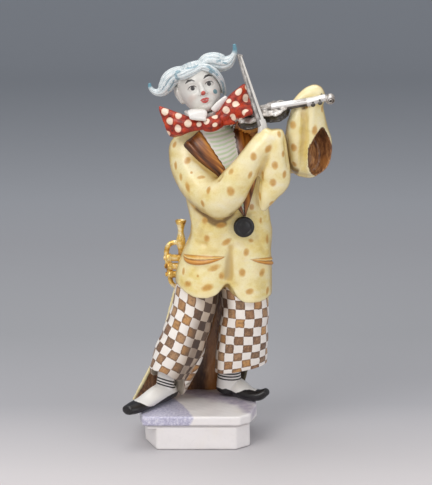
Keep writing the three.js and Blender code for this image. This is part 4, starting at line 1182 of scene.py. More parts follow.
coat.attr["shade"] = crease_shade * smooth(-0.05, 0.25, facing)
# painted shade in a soft band beside the front opening's ridge
g_, al_ = line_gap(PX, PY, [(229.5, 238), (227.5, 262), (226.5, 284)])
coat.attr["greyed"] = np.exp(-((g_ / 4.0) ** 2)) * facing * smooth(0.0, 0.5, al_) * smooth(1.0, 0.8, al_)

# brown lining: inside the open sleeve, and the inner face of the tail
lining = np.full(len(coat.v), -1.0)
lo, hi = sleeve_l.v.min(0) - 2, sleeve_l.v.max(0) + 2
mouth_tree = tree_of(mouth)
for i in np.where(((coat.v > lo) & (coat.v < hi)).all(1))[0]:
    here = Vector(coat.v[i])
    p, nn, k, d = sleeve_tree.find_nearest(here)
    q, mn, k, dm = mouth_tree.find_nearest(here)
    if p is not None and q is not None:
        inside = -(here - p).dot(nn)
        near = 1.1 - dm
        lining[i] = np.clip(min((inside - 0.35) / 0.6, near / 0.5), -1, 1)
# where the hollow breaks out at the sleeve's side, its rim is painted too
inside_line = np.array([[323, 128.5], [326.5, 133], [330, 140.5], [333.6, 151.5], [334, 153], [331, 161], [328.5, 166.5], [322, 173.5], [316, 176.6], [311.6, 173.6], [308.8, 168], [307.8, 160], [308.2, 152], [310, 146], [313, 140], [318, 134]])
zone = np.where((PX > 300) & (PX < 338) & (PY > 120) & (PY < 182) & (facing > 0.02))[0]
if len(zone):
    q = inside_line
    cx_, cy_ = PX[zone], PY[zone]
    crossing = np.zeros(len(zone), bool)
    for a_, b_ in zip(q, np.roll(q, -1, axis=0)):
        up_ = (a_[1] > cy_) != (b_[1] > cy_)
        with np.errstate(divide="ignore", invalid="ignore"):
            xx_ = (b_[0] - a_[0]) * (cy_ - a_[1]) / (b_[1] - a_[1]) + a_[0]
        crossing ^= up_ & (cx_ < xx_)
    gap, _ = line_gap(cx_, cy_, np.vstack([q, q[:1]]))
    lining[zone] = np.maximum(lining[zone], np.clip(np.where(crossing, gap, -gap) / 1.2, -1, 1))
from mathutils.kdtree import KDTree

g = np.linspace(0, 1, 110)
GU, GV = np.meshgrid(g, np.linspace(0, 1, 140))
inner = tail_at(GU, GV).reshape(-1, 3)
kd = KDTree(len(inner))
for i, p in enumerate(inner):
    kd.insert(Vector(p), i)
kd.balance()
gu, gv = GU.reshape(-1), GV.reshape(-1)
for i in np.where((coat.v[:, 2] < 132) & (coat.v[:, 1] > 2))[0]:
    p, k, d = kd.find(Vector(coat.v[i]))
    if d < 1.9:
        rim = min(gu[k], 1 - gu[k]) * 60
        low = (1 - gv[k]) * 110
        lining[i] = max(lining[i], min(np.clip((1.25 - d) / 0.7, -1, 1), np.clip((rim - 1.3) / 1.0, -1, 1), np.clip((low - 0.4) / 1.0, -1, 1)))
coat.attr["lining"] = lining
# painted shade on the lining, between the legs and deep in the sleeve's mouth
low_tail = (coat.v[:, 2] < 112).astype(float)
coat.attr["umber"] = low_tail * bump(PX, 199, 9)
# painted shadow on the back of the tail, behind the left ankle
coat.attr["dusk"] = smooth(64, 54, coat.v[:, 2]) * smooth(236, 240, PX) * smooth(262, 256, PX) * (coat.v[:, 1] > 10) * smooth(-0.2, 0.1, -(n0 @ FWD))
in_sleeve = (coat.v[:, 0] > 68) & (coat.v[:, 2] > 180)
coat.attr["umber"] = np.maximum(coat.attr["umber"], in_sleeve * np.maximum(0.8 * np.exp(-(((PX - 323) / 4.5) ** 2 + ((PY - 134) / 8) ** 2)), 0.6 * np.exp(-(((PX - 309) / 2.5) ** 2 + ((PY - 158) / 14) ** 2))))
coat.attr["amber"] = np.maximum(low_tail * bump(PX, 212, 5), in_sleeve * 0.9 * np.exp(-(((PX - 324) / 5.5) ** 2 + ((PY - 162) / 7) ** 2)))
coat.attr["pocket"] = pocket
coat.attr["pocket_v"] = pocket_v
SPOTS = [
    (174.3, 144.5, 2.5, 3.2, -20), (187.6, 160.6, 3, 4, -20), (175.6, 165.4, 2.1, 4, 8), (180.8, 177, 2, 3.6, 12),
    (187.6, 187.3, 2.4, 5, 14), (208.4, 190, 2.5, 3.8, 5), (201.3, 177.2, 3.6, 1.9, 5), (191.4, 172.6, 1.3, 1.6, 0),
    (231, 171.5, 2.9, 3.2, 0), (230.6, 191.4, 3.6, 4.6, 10), (202.6, 203.7, 2.4, 3.4, 15), (250.2, 175, 1.9, 4, -8),
    (253.5, 156.5, 2.9, 4, 0), (268.2, 149, 2.9, 4.4, -25), (279.2, 134, 2, 3.6, 0), (283.3, 153.8, 2, 3.2, 0),
    (262.8, 175.6, 2.1, 4.8, -8), (275, 165.4, 2.9, 4, 0), (284.6, 174.3, 2.1, 3.8, 5), (273, 182.5, 3.1, 4, -8),
    (260, 196, 1.9, 4.6, 0), (271.6, 203, 2.4, 3, -10), (292.8, 125, 3, 4, 0), (293.5, 147.6, 3, 3.8, 0),
    (294.2, 164, 2.2, 3, 0), (314.7, 130.5, 2.8, 4.6, 0), (251.8, 207, 2.4, 3, 0), (260.7, 220.5, 1.6, 3, 0),
    (267.3, 239.2, 2.3, 4.4, 5), (251, 240.5, 2.4, 1.9, 0), (246.3, 252.2, 2.6, 3.6, -10), (242.2, 272.7, 3, 4, -6),
    (262, 272.7, 3.0, 4.4, -35), (249.8, 291.5, 3.8, 2.9, 12), (267.5, 290.4, 2.2, 4, -10), (206.7, 238.5, 3, 3.4, 0),
    (226.5, 242, 4.8, 2.7, 35), (214.2, 267.9, 5.8, 2.8, 24), (183.5, 271.3, 1.8, 3.6, 5), (197.8, 276, 1.3, 1.4, 0),
    (187.6, 284, 4.0, 3.0, 0), (207.4, 287.7, 5.6, 3.1, 18), (221.8, 276, 2.8, 3.4, 0), (204.7, 220.7, 2.9, 3.4, 0),
    (221, 225.4, 4.6, 2.6, 10), (307, 105.5, 2.2, 3.2, 20), (322, 109, 1.6, 3.2, 0),
]
coat = spots(coat, n0, coat_tree, [(a, b, 1.2 * c, 1.15 * d, e) for a, b, c, d, e in SPOTS], "blot", "tone")
# the same kind of marks on the sides and the back, evenly spread
free = np.where((-(n0 @ FWD) < 0.12) & (lining < -0.5))[0]
order = RNG.permutation(free)
have = [hit(coat_tree, s[0], s[1])[0] for s in SPOTS if hit(coat_tree, s[0], s[1])]
have = np.array(have)
more = []
for i in order[:: 1][:60000]:
    p = coat.v[i]
    if np.linalg.norm(have - p, axis=1).min() > 12.5:
        have = np.vstack([have, p])
        a, b = RNG.uniform(1.8, 2.6), RNG.uniform(2.5, 3.6)
        more.append((p, n0[i], a, b, RNG.uniform(-35, 35)))
coat = spots(coat, n0, coat_tree, more, "blot", "tone")
make("coat", coat, mat_coat())


# ------------------------------------------------------------------ lapels, shirt front: cloth laid on the chest
chest_tree = tree_of(jacket)


def drape(left, right, nu, nv, lift, tree, depth=-26.0):
    """A patch between two edges drawn in pixels, laid on a skin and raised by lift(u, v) mm. Closed behind."""
    U, V_ = np.meshgrid(np.linspace(0, 1, nu + 1), np.linspace(0, 1, nv + 1))
    L = rail(left, V_[:, 0])
    R = rail(right, V_[:, 0])
    P = np.zeros(U.shape + (3,))
    N = np.zeros_like(P)
    for j in range(nv + 1):
        for i in range(nu + 1):
            p = L[j] + (R[j] - L[j]) * U[j, i]
            r = hit(tree, p[0], p[1])
            if r is None:
                P[j, i], N[j, i] = at_depth(p[0], p[1], depth), -FWD
            else:
                P[j, i], N[j, i] = r
    for _ in range(4):  # even the normals out
        N[1:-1, 1:-1] = N[1:-1, 1:-1] + N[:-2, 1:-1] + N[2:, 1:-1] + N[1:-1, :-2] + N[1:-1, 2:]
        N = unit(N)
    up = lift(U, V_)[..., None]
    top = P + N * up
    under = P - N * 1.2
    w = nu + 1
    m = w * (nv + 1)
    v = np.vstack([under.reshape(-1, 3), top.reshape(-1, 3)])
    f = grid_faces(nv + 1, w, closed=False)
    f += [tuple(reversed(q)) for q in grid_faces(nv + 1, w, closed=False, start=m)]
    edge = [i for i in range(nu)] + [j * w + nu for j in range(nv)] + [nv * w + i for i in range(nu, 0, -1)] + [j * w for j in range(nv, 0, -1)]
    for k in range(len(edge)):
        a, b = edge[k], edge[(k + 1) % len(edge)]
        f.append((a, m + a, m + b, b))
    width = np.linalg.norm(top[:, -1] - top[:, 0], axis=1)[:, None]
    length = np.concatenate([[0], np.cumsum(np.linalg.norm(np.diff(top[:, nu // 2], axis=0), axis=1))])[:, None]
    e = np.minimum(np.minimum(U, 1 - U) * width, np.minimum(length + 0 * U, length[-1] - length + 0 * U))
    at = dict(u=U * width, v=length + 0 * U, edge=e, across=U)
    return Shape(v, outward(v, f), **{k: np.tile(x.reshape(-1), 2) for k, x in at.items()})


def leaf_lift(h, roll=0.0, ridge=None):
    def f(U, V_):
        e = np.minimum(U, 1 - U)
        z = h * (0.25 + 0.75 * smooth(0, 0.14, e)) * smooth(-0.02, 0.03, V_)
        z = z + roll * bump(U, 0.22, 0.2) * (1 - 0.5 * V_)
        if ridge:
            z = z + ridge * bump(U, 0.26, 0.09) * smooth(0.75, 0.3, V_)
        return z

    return f


K = 1
shirt = drape(
    [[196, 124], [209, 146], [223, 167.5], [232, 186], [239, 202], [243.5, 215]],
    [[234, 116], [236.5, 138], [238.5, 157], [241.5, 180], [243.4, 200], [244.8, 215]],
    30 // K, 70 // K, lambda U, V_: 0.5 + 0.16 * np.sin(V_ * 118 + 6.0 * (U - 0.5) ** 2) * smooth(0, 0.1, U) * smooth(1, 0.9, U), chest_tree,
)
make("shirt_front", shirt, mat_shirt())
brown = mat_brown()
lapel_a = drape(
    [[183, 145.5], [198, 160.5], [215, 174.5], [227, 190], [235.5, 205], [243, 216]],
    [[200.5, 129.5], [213, 149], [225, 167.5], [234, 186], [240.3, 202], [244.5, 216]],
    26 // K, 80 // K, leaf_lift(1.5, 0.5, 0.6), chest_tree,
)
lapel_b = drape(
    [[230.5, 116], [233.8, 138], [237.6, 157.5], [241, 178], [242.6, 198], [244, 216]],
    [[262, 116], [263, 138], [260.5, 158], [256.2, 179], [251, 199], [245.6, 216]],
    26 // K, 80 // K, leaf_lift(1.3, 0.0, 0.9), chest_tree,
)
# paint thins to gold towards the opening on the first lapel, and high up on the second
lapel_a.attr["gold"] = 0.75 * smooth(0.3, 0.9, lapel_a.attr["across"]) - 0.15
up_ = smooth(34, 12, lapel_b.attr["v"])
lapel_b.attr["gold"] = 0.6 - 0.9 * smooth(0.3, 0.05, lapel_b.attr["across"]) + 0.9 * up_ * bump(lapel_b.attr["across"], 0.5, 0.2)
lapels = lapel_a.join(lapel_b)
make("lapels", lapels, brown)

# ------------------------------------------------------------------ button
def lathe(profile, seg=64):
    rows = np.asarray(profile, float)
    th = np.arange(seg) / seg * 2 * math.pi
    P = np.stack([rows[:, :1] * np.cos(th), rows[:, :1] * np.sin(th), np.repeat(rows[:, 1:], seg, 1)], -1)
    v = np.vstack([P.reshape(-1, 3), [0, 0, rows[0, 1]], [0, 0, rows[-1, 1]]])
    nr = len(rows)
    f = grid_faces(nr, seg)
    A, B, last = nr * seg, nr * seg + 1, (nr - 1) * seg
    f += [(A, (i + 1) % seg, i) for i in range(seg)] + [(B, last + i, last + (i + 1) % seg) for i in range(seg)]
    return Shape(v, outward(v, f))


def profile_of(rows, n=60):
    return rail(rows, np.linspace(0, 1, n))


bt = lathe(profile_of([[0.2, -5], [5.8, -5], [6.9, -2], [7.1, 0.4], [6.6, 1.7], [5.2, 2.2], [4.2, 1.8], [2.6, 2.2], [0.2, 2.5]], 70))
bt = bt.moved(frame_at([33, -29, 156.6], [1, 0, 0], [0.12, -1, 0.1]))
make("button", bt, mat_black())

# ------------------------------------------------------------------ collar, neck
neck = loft([[9.5, -7, 214, 12, 10.5], [7.5, -8.5, 226, 9.8, 9.4], [6, -9, 240, 9, 9]], seg=80, rings=40, ref=(0, 1, 0))


def collar_warp(P, T, S):
    x = P[..., 0]
    P[..., 2] += S * (5.5 * bump(x, 20, 5) - 2.5 * bump(x, 4, 6))
    return P


collar = loft(
    [[7.5, -11, 222, 14, 12, 2.2], [6.5, -11.5, 228.5, 13, 11.5, 2.2], [6.2, -11.5, 234, 14, 12, 2.2]],
    seg=110, rings=40, flat=True, warp=collar_warp,
)
# the two turned-down points: one over the knot, one behind the wing on the viewer's right
point_r = loft([[1.6, -22.5, 234.4, 5.8, 2.2, 3], [1.4, -30.4, 234.4, 6.8, 2.2, 3], [1.9, -34.9, 230.8, 6.0, 1.3, 3]], seg=60, rings=40, ref=(0.02, 0.5, 1), dome_a=0.6, dome_b=0.5)
point_l = loft([[12.2, -24.6, 235.6, 2.4, 2.0, 3], [16.4, -25, 239.6, 2.7, 1.5, 3], [21.2, -24, 244.2, 1.9, 1.1, 3]], seg=60, rings=40, ref=(0.0, 1, 0.3), dome_a=0.6, dome_b=0.5)
col, E_ = finish_skin(
    Shape(neck.v, neck.f).join(Shape(collar.v, collar.f), Shape(point_r.v, point_r.f), Shape(point_l.v, point_l.f)), 0.5, even=3, soft=2
)
make("collar_and_neck", with_hollow(col, E=E_), mat_white("collar_glaze"))

# ------------------------------------------------------------------ bow tie
def pleat(depth, n, phase=0.0):
    def f(T, S):
        return -depth * smooth(0.02, 0.3, S) * (1 - 0.45 * S) * (0.5 + 0.5 * np.sin(T * n + phase)) ** 2

    return f


def slanted(P, T, S):
    P[..., 0] += smooth(0.4, 1.0, S) * (1.5 - 0.47 * (P[..., 2] - 227))
    return P


wing_r = loft(
    [[7.6, -27, 226.4, 3.4, 4.0, 2.4], [-2.2, -26.5, 226.3, 5.0, 5.0, 2.6], [-11.4, -24.5, 226.4, 8.2, 5.6, 2.8], [-20.9, -20.5, 227.4, 11, 4.6, 3.6]],
    seg=120, rings=70, ref=(0, 1, 0), dome_b=0.8, fold=pleat(1.2, 6, 0.5), warp=slanted,
)
def wing_warp(P, T, S):
    # the loose end hangs nearly upright, its lower corner lies over the violin
    P[..., 0] += smooth(0.25, 1.0, S) * 0.34 * (P[..., 2] - 238)
    low = smooth(0.3, 0.85, S) * smooth(243, 229, P[..., 2])
    P[..., 1] -= 20 * low
    P[..., 2] += 6.2 * low
    P[..., 0] -= 1.6 * low
    return P


wing_l = loft(
    [[14.6, -27, 228.6, 3.8, 4.2, 2.4], [21.6, -26, 232.6, 8, 5.4, 2.6], [28.6, -23.5, 236.8, 12.4, 5.6, 2.8], [35, -20.5, 240.6, 15.4, 4, 3.8]],
    seg=120, rings=70, ref=(0, 1, 0), dome_b=0.8, fold=pleat(1.3, 6, 1.6), warp=wing_warp,
)
knot = loft(
    [[6.4, -28, 226, 4.2, 4.4, 2.4], [11.3, -29.5, 227, 5.2, 5.2, 2.6], [16.2, -28, 229, 4.8, 4.6, 2.4]],
    seg=80, rings=40, ref=(0, 1, 0), dome_a=1.4, dome_b=1.4, fold=pleat(0.5, 5),
)
tie, E_ = finish_skin(Shape(wing_r.v, wing_r.f).join(Shape(wing_l.v, wing_l.f), Shape(knot.v, knot.f)), 0.45, even=3, soft=1)
tie = with_hollow(tie, E=E_, gain=4.0)
tie_n = normals(tie.v, tie.f)
tie_tree = tree_of(tie)
DOTS = [
    (164.8, 111.5, 4.6, 4.4, -20), (178.6, 115.2, 4.0, 4.2, 0), (169.6, 121.2, 4.6, 4.4, 0), (188, 123.4, 4.4, 4.6, 0), (164.6, 130, 3.4, 5.0, 35),
    (178, 128.6, 4.2, 4.4, 0), (161, 119.5, 1.8, 3.4, 0), (199, 124.2, 3.0, 3.2, 0), (206.5, 121.4, 3.9, 4.0, 0), (214.6, 116.4, 3.8, 3.6, 0),
    (226.2, 110, 4.2, 4.2, 0), (233.6, 117.2, 4.0, 4.4, 0), (236, 104.4, 4.4, 4.4, 0), (244.6, 111, 4.2, 4.4, 0), (245.6, 98, 4.0, 4.8, 0),
    (238.6, 91.6, 3.6, 5.2, -30), (228.6, 101, 3.2, 3.0, 0), (246.4, 87, 2.0, 3.2, -10), (215, 124.8, 3.2, 2.6, 20),
]
tie = spots(tie, tie_n, tie_tree, [(a, b, 0.86 * c, 0.86 * d, e) for a, b, c, d, e in DOTS], "dot")
free = np.where(-(tie_n @ FWD) < 0.1)[0]
have = np.array([hit(tie_tree, d[0], d[1])[0] for d in DOTS if hit(tie_tree, d[0], d[1])])
more = []
for i in RNG.permutation(free):
    if np.linalg.norm(have - tie.v[i], axis=1).min() > 7.4:
        have = np.vstack([have, tie.v[i]])
        more.append((tie.v[i], tie_n[i], 2.5, 2.5, 0))
tie = spots(tie, tie_n, tie_tree, more, "dot")
make("bow_tie", tie, mat_dots())


# ------------------------------------------------------------------ trousers: wide legs, open at the hem
def leg(rows, warp, seg, rings, wrinkle):
    s = loft(rows, seg=seg, rings=rings, flat=True, fold=wrinkle)
    nr = rings + 1
    P = s.v[: nr * seg].reshape(nr, seg, 3)
    u, v = s.attr["u"][: nr * seg].reshape(nr, seg), s.attr["v"][: nr * seg].reshape(nr, seg)
    S = s.attr["s"][: nr * seg].reshape(nr, seg)
    last = P[-1]
    c = last.mean(0)
    extra, eu, ev, hem = [], [], [], []
    for k, dz in ((0.985, -0.35), (0.95, -0.6), (0.91, -0.5), (0.88, -0.1), (0.86, 0.8), (0.84, 3), (0.80, 6), (0.6, 8), (0.3, 8.5)):
        q = c + (last - c) * np.array([k, k, 1])
        q[:, 2] = last[:, 2] + dz
        extra.append(q)
        eu.append(u[-1] * k)
        ev.append(v[-1] + 0.3)
        hem.append(0.0 if k > 0.94 else 1.0)
    P = np.concatenate([P, np.array(extra)])
    S = np.concatenate([S, np.ones((len(extra), seg))])
    P = warp(P, S)
    u, v = np.concatenate([u, eu]), np.concatenate([v, ev])
    h = np.concatenate([np.full((nr, seg), -1.0), np.repeat(np.array(hem)[:, None] * 2 - 1, seg, 1)])
    n = len(P)
    vv = np.vstack([P.reshape(-1, 3), P[0].mean(0), P[-1].mean(0)])
    f = grid_faces(n, seg)
    A, B, e = n * seg, n * seg + 1, (n - 1) * seg
    f += [(A, (i + 1) % seg, i) for i in range(seg)] + [(B, e + i, e + (i + 1) % seg) for i in range(seg)]
    pad = lambda x: np.concatenate([x.reshape(-1), [x[0].mean(), x[-1].mean()]])
    return Shape(vv, outward(vv, f), u=pad(u), v=pad(v), hem=pad(h), s=pad(S))


def leg_r_warp(P, S):
    sx, sy = smooth(-26, -10, P[..., 0]), smooth(-8, 6, P[..., 1])
    P[..., 2] += smooth(0.35, 1, S) * (6.3 - 7.3 * sx - (9 + 7 * sx) * sy)
    return P


def leg_l_warp(P, S):
    P[..., 2] += smooth(0.5, 1, S) * (0.2 * (P[..., 0] - 13) - 2)
    return P


def wrinkle_r(T, S):
    return 0.5 * np.sin(S * 26 + 1.5 * np.sin(T)) * bump(S, 0.55, 0.25) * smooth(0.2, 1, np.abs(np.cos(T))) - 1.2 * bump(T, 5.4, 0.22) * smooth(0.25, 0.8, S)


def wrinkle_l(T, S):
    return 0.45 * np.sin(S * 22 + 2.0 * np.sin(T + 1)) * bump(S, 0.5, 0.3) * smooth(0.2, 1, np.abs(np.cos(T)))


leg_r = leg(
    [[4, -4, 130, 14.5, 14.5, 2.2], [-0.5, -5, 99, 15.8, 16.5, 2.2], [-3, -5, 90, 16.2, 17, 2.2], [-7, -5, 77.5, 16.2, 17, 2.3], [-12.2, -5, 63, 16.2, 16.6, 2.3], [-20.2, -3.5, 46, 12.6, 15.5, 2.3]],
    leg_r_warp, 200 // K, 140 // K, wrinkle_r,
)
leg_l = leg(
    [[30, -4, 130, 15.5, 16, 2.2], [34.2, -3, 97, 16.4, 17, 2.2], [33.2, 1, 77, 17.4, 16.8, 2.3], [32.2, 6, 58, 18.4, 16.2, 2.4], [31.8, 9, 47.5, 18.6, 15.6, 2.4]],
    leg_l_warp, 200 // K, 140 // K, wrinkle_l,
)
# the rows of squares run square to the slanting leg
inner_r = leg_r.attr["hem"] > 0
leg_r.attr["v"] = -0.9 * leg_r.v[:, 2] - 0.44 * leg_r.v[:, 0]
leg_r.attr["shade"] = smooth(-5, 9, leg_r.attr["u"]) * smooth(60, 40, leg_r.attr["u"])
leg_l.attr["shade"] = np.maximum(smooth(-12, -22, leg_l.attr["u"]) * 0.6, smooth(88, 98, leg_l.v[:, 2]) * smooth(-6, -16, leg_l.attr["u"]) * 0.8)
lx, ly = to_px(leg_r.v)
# the open flap at the right hem, painted as in shade
leg_r.attr["pleat"] = smooth(0, 5, ly - (394 - 1.2 * (lx - 176))) * smooth(170, 175, lx) * (leg_r.v[:, 2] < 62)
leg_r.attr["leg"] = np.full(len(leg_r.v), 1.0)
leg_l.attr["leg"] = np.full(len(leg_l.v), 4.0)
check = mat_check()
make("trouser_leg_right", leg_r, check)
make("trouser_leg_left", leg_l, check)

# ------------------------------------------------------------------ shoes with spats, socks with thin rings
STAGE = 24.2


def on_stage(P, T, S):
    P[..., 2] = np.maximum(P[..., 2], STAGE - 0.1)
    return P


shoe_r = loft(
    [[-17.6, 12, 29.4, 5.2, 5], [-21, 6, 31.4, 6.6, 7], [-27.8, -3.5, 31, 7, 6.6], [-36.4, -14.5, 28.4, 7.2, 4.4], [-43, -24, 27.5, 6.8, 4], [-47.2, -29.4, 27.4, 4.8, 3.4]],
    seg=100, rings=120, ref=(0, 0, 1), dome_a=2, dome_b=1.6, warp=on_stage,
)
shoe_l = loft(
    [[18.6, 29, 30, 5.2, 5.6], [22, 25, 31.4, 6.8, 7], [29.4, 17, 31, 7.2, 6.6], [37, 9.5, 28.4, 7, 4.6], [44.5, 4, 28.7, 6.2, 4], [49.6, 1.2, 31.8, 4, 2.8]],
    seg=100, rings=120, ref=(0, 0, 1), dome_a=2, dome_b=1.6, warp=on_stage,
)


def ankle(foot, knee, r):
    foot, knee = np.array(foot, float), np.array(knee, float)
    return loft([[*foot, r * 1.12, r * 1.15], [*((foot + knee) / 2), r, r], [*knee, r, r]], seg=90, rings=90, ref=(0, 1, 0))


white_shoe = mat_shoe()
for name, shoe, foot, knee, r in (
    ("shoe_right", shoe_r, [-23, 4, 29], [-20, 1, 56], 6.2),
    ("shoe_left", shoe_l, [23.4, 21, 29], [23.8, 13, 58], 8.2),
):
    sh, E_ = finish_skin(Shape(shoe.v, shoe.f).join(Shape(*(lambda a: (a.v, a.f))(ankle(foot, knee, r)))), 0.42, even=3, soft=1)
    sh = with_hollow(sh, E=E_)
    px, py = to_px(sh.v)
    X_, Y_, Z_ = sh.v.T
    if name == "shoe_right":
        line = [(112, 380), (131, 380), (134, 400.6), (140, 402.6), (148, 406.6), (154, 406), (160, 401.4), (168, 396.4), (176, 392), (182, 391)]
        planes = [40.8 - 0.31 * (X_ + 23.3) - 0.2 * (Y_ - 4) - k for k in (0.0, 2.2, 4.2)]
    else:
        line = [(210, 387), (217, 387), (222, 389.2), (226, 388.6), (231, 390.6), (236, 393), (240, 391.6), (245, 389.7), (249, 389.4), (255, 391), (259, 388), (261, 375), (280, 375)]
        planes = [38.2 - 0.05 * (X_ - 23) + k for k in (0.0, 2.3, 4.5)]
    line = np.array(line, float)
    toe = np.clip((py - np.interp(px, line[:, 0], line[:, 1])) / 1.2, -1, 1)
    ground = np.clip((STAGE + 1.5 - Z_) / 0.8, -1, 1)
    sh.attr["black"] = np.maximum(toe, ground)
    rings = np.full(len(sh.v), -1.0)
    for q in planes:
        rings = np.maximum(rings, 1 - np.abs(Z_ - q) / 0.55)
    sh.attr["rings"] = np.where(Z_ > 34, np.clip(rings, -1, 1), -1)
    make(name, sh, white_shoe)

# ------------------------------------------------------------------ plinth
TIER = [[-27.2, -33], [28, -33], [37.6, -24], [37.8, 10], [33, 27], [22, 35], [-24, 35], [-33.5, 24], [-36.4, 4], [-36, -9]]
SLAB = [[-37, -35], [30.4, -35], [37.8, -27.5], [43.2, 0], [40.5, 24], [29, 38.5], [-31, 39.5], [-40.5, 27], [-41.6, 6], [-38.4, -23]]


def inset(plan, d):
    out = []
    for x, y in plan:
        r = math.hypot(x, y)
        out.append([x * (1 - d / r), y * (1 - d / r)])
    return out


def plan_points(plan, n, round_by):
    """A closed plan, its corners slightly rounded, read at n points."""
    P = np.asarray(plan, float)
    m = len(P)
    pts = []
    for i in range(m):
        a, b, c = P[i - 1], P[i], P[(i + 1) % m]
        u1, u2 = unit(a - b), unit(c - b)
        r = min(round_by, np.linalg.norm(a - b) * 0.4, np.linalg.norm(c - b) * 0.4)
        for t in np.linspace(0, 1, 7):
            pts.append((1 - t) ** 2 * (b + u1 * r) + 2 * t * (1 - t) * b + t**2 * (b + u2 * r))
    pts = np.array(pts)
    q = np.vstack([pts, pts[:1]])
    L = np.concatenate([[0], np.cumsum(np.linalg.norm(np.diff(q, axis=0), axis=1))])
    s = np.arange(n) / n * L[-1]
    return np.stack([np.interp(s, L, q[:, 0]), np.interp(s, L, q[:, 1])], -1)


def block(plan, z0, z1, edge, n=340, round_by=1.2, bend=None, fill=34, under=4):
    """A prism with rounded edges. bend(points) moves the finished points."""
    base = plan_points(plan, n, round_by)
    c = base.mean(0)
    d = base - c
    r = np.linalg.norm(d, axis=1, keepdims=True)
    prof = []  # (inset mm or shrink factor, z)
    for t in np.linspace(0, math.pi / 2, 7):
        prof.append((edge * (1 - math.sin(t)), z0 + edge * (1 - math.cos(t))))
    for t in np.linspace(0, 1, 12)[1:-1]:
        prof.append((0.0, z0 + edge + (z1 - z0 - 2 * edge) * t))
    for t in np.linspace(0, math.pi / 2, 7):
        prof.append((edge * (1 - math.cos(t)), z1 - edge * (1 - math.sin(t))))
    rings = []
    for k in np.linspace(0.1, 1, under)[:-1]:
        rings.append(np.column_stack([c + d * (1 - edge / r) * k, np.full(n, z0)]))
    for i, z in prof:
        rings.append(np.column_stack([c + d * (1 - i / r), np.full(n, z)]))
    for k in np.linspace(1, 0.04, fill)[1:]:
        rings.append(np.column_stack([c + d * (1 - edge / r) * k, np.full(n, z1)]))
    P = np.array(rings)
    nr = len(P)
    v = np.vstack([P.reshape(-1, 3), [c[0], c[1], z0], [c[0], c[1], z1]])
    f = grid_faces(nr, n)
    A, B, last = nr * n, nr * n + 1, (nr - 1) * n
    f += [(A, (i + 1) % n, i) for i in range(n)] + [(B, last + i, last + (i + 1) % n) for i in range(n)]
    if bend is not None:
        v = bend(v)
    return Shape(v, outward(v, f))


def slab_bend(v):
    low = v[:, 2] < STAGE - 3
    v[:, 2] = v[:, 2] - np.where(low, 0.15 * np.clip(v[:, 1] + 30, 0, 36), 0)
    return v


NP = 270
tier = block(TIER, 0, 16.2, 1.1, n=NP, fill=6, under=16)
core = block(inset(SLAB, 3.8), 14.7, 20.2, 0.3, n=NP, fill=4)
slab = block(SLAB, STAGE - 6.8, STAGE, 1.5, n=NP, bend=slab_bend, fill=70, under=10)
# hand-finished: slightly uneven faces
plinth = tier.join(core, slab)
pn = normals(plinth.v, plinth.f)
keep = smooth(0.0, 1.5, plinth.v[:, 2])[:, None]
plinth.v = plinth.v + pn * (0.16 * noise3(plinth.v, 22, 9) + 0.05 * noise3(plinth.v, 7, 10))[:, None] * keep
px, py = to_px(plinth.v)
top = smooth(STAGE - 8, STAGE - 6, plinth.v[:, 2])


def side_of(px, py, pts):
    """Signed gap to a polyline going down the picture: positive on the viewer's left of it."""
    P = np.asarray(pts, float)
    x = np.interp(py, P[:, 1], P[:, 0])
    return x - px


# a speckled lavender wedge at the front left, a rosy band across the back right
edge_line = [(166, 388), (172, 396), (183, 405), (190, 412), (194, 418), (191, 424), (189, 430)]
blue = side_of(px, py, edge_line) / 4.0
blue = np.where(plinth.v[:, 1] > 12, -1, blue)
plinth.attr["blue"] = np.clip(blue, -1, 1) * (top > 0.5) - (top <= 0.5) * 1.0
g, _ = line_gap(px, py, [(176, 384), (190, 390), (212, 396), (226, 397), (238, 402), (250, 409), (262, 412)])
rose = (5.2 - g) / 2.6
side_x = plinth.v[:, 0] + 0.28 * plinth.v[:, 1]
rose = np.maximum(rose, np.clip((side_x - 32) / 3.0, -1, 0.5) * smooth(STAGE - 9, STAGE - 5, plinth.v[:, 2]) - (1 - smooth(STAGE - 9, STAGE - 5, plinth.v[:, 2])))
plinth.attr["rose"] = np.where(top > 0.5, np.clip(rose, -1, 1.0), -1.0)
ring = np.zeros(len(plinth.v))
k = plinth.v[:, 2]
# painted shadow in a band under the slab's overhang
plinth.attr["groove"] = bump(k, 17.2 - 0.1 * np.clip(plinth.v[:, 1] + 30, 0, 36), 1.1) * (np.abs(pn[:, 2]) < 0.8)
make("plinth", plinth, mat_plinth())

# ------------------------------------------------------------------ head, in its own frame: x across the face, -y out of it, z up
HEAD = frame_at([3.2, -10.5, 248], [0.955, 0.12, 0.27], [-0.28, 0.17, 0.945])
HI = np.linalg.inv(HEAD)
EYE_X, EYE_Z = 5.6, 1.4


def face_warp(P, T, S):
    y = P[..., 1]
    x = np.abs(P[..., 0])
    z = P[..., 2]
    f = (y < 0) * 1.0
    d = 2.3 * bump(x, EYE_X, 3.3) * bump(z, EYE_Z, 2.7)  # eye hollow
    d -= 0.9 * bump(x, EYE_X, 4) * bump(z, 5.2, 1.9)  # brow
    d -= 1.2 * bump(x, 6.8, 3.4) * bump(z, -4.2, 3.4)  # cheek
    d -= 1.3 * bump(x, 0, 3.2) * bump(z, -14, 2.8)  # chin
    d += 0.8 * bump(x, 0, 4) * bump(z, -11.4, 1.3)  # below the lip
    d += 0.35 * bump(x, 0, 0.9) * bump(z, -6.7, 0.9)  # groove above the lip
    d += 0.5 * bump(x, 4.6, 1.3) * bump(z, -6.6, 2.6)  # fold beside the nose
    d -= 0.8 * bump(x, 0, 5) * bump(z, -8.6, 2.4)  # mouth rounding
    d += 0.5 * bump(x, 11, 2.6) * bump(z, 3.4, 4)  # temple
    P[..., 1] = y + d * f
    return P


def head_loft(rows, **k):
    return loft(rows, flat=True, **k)


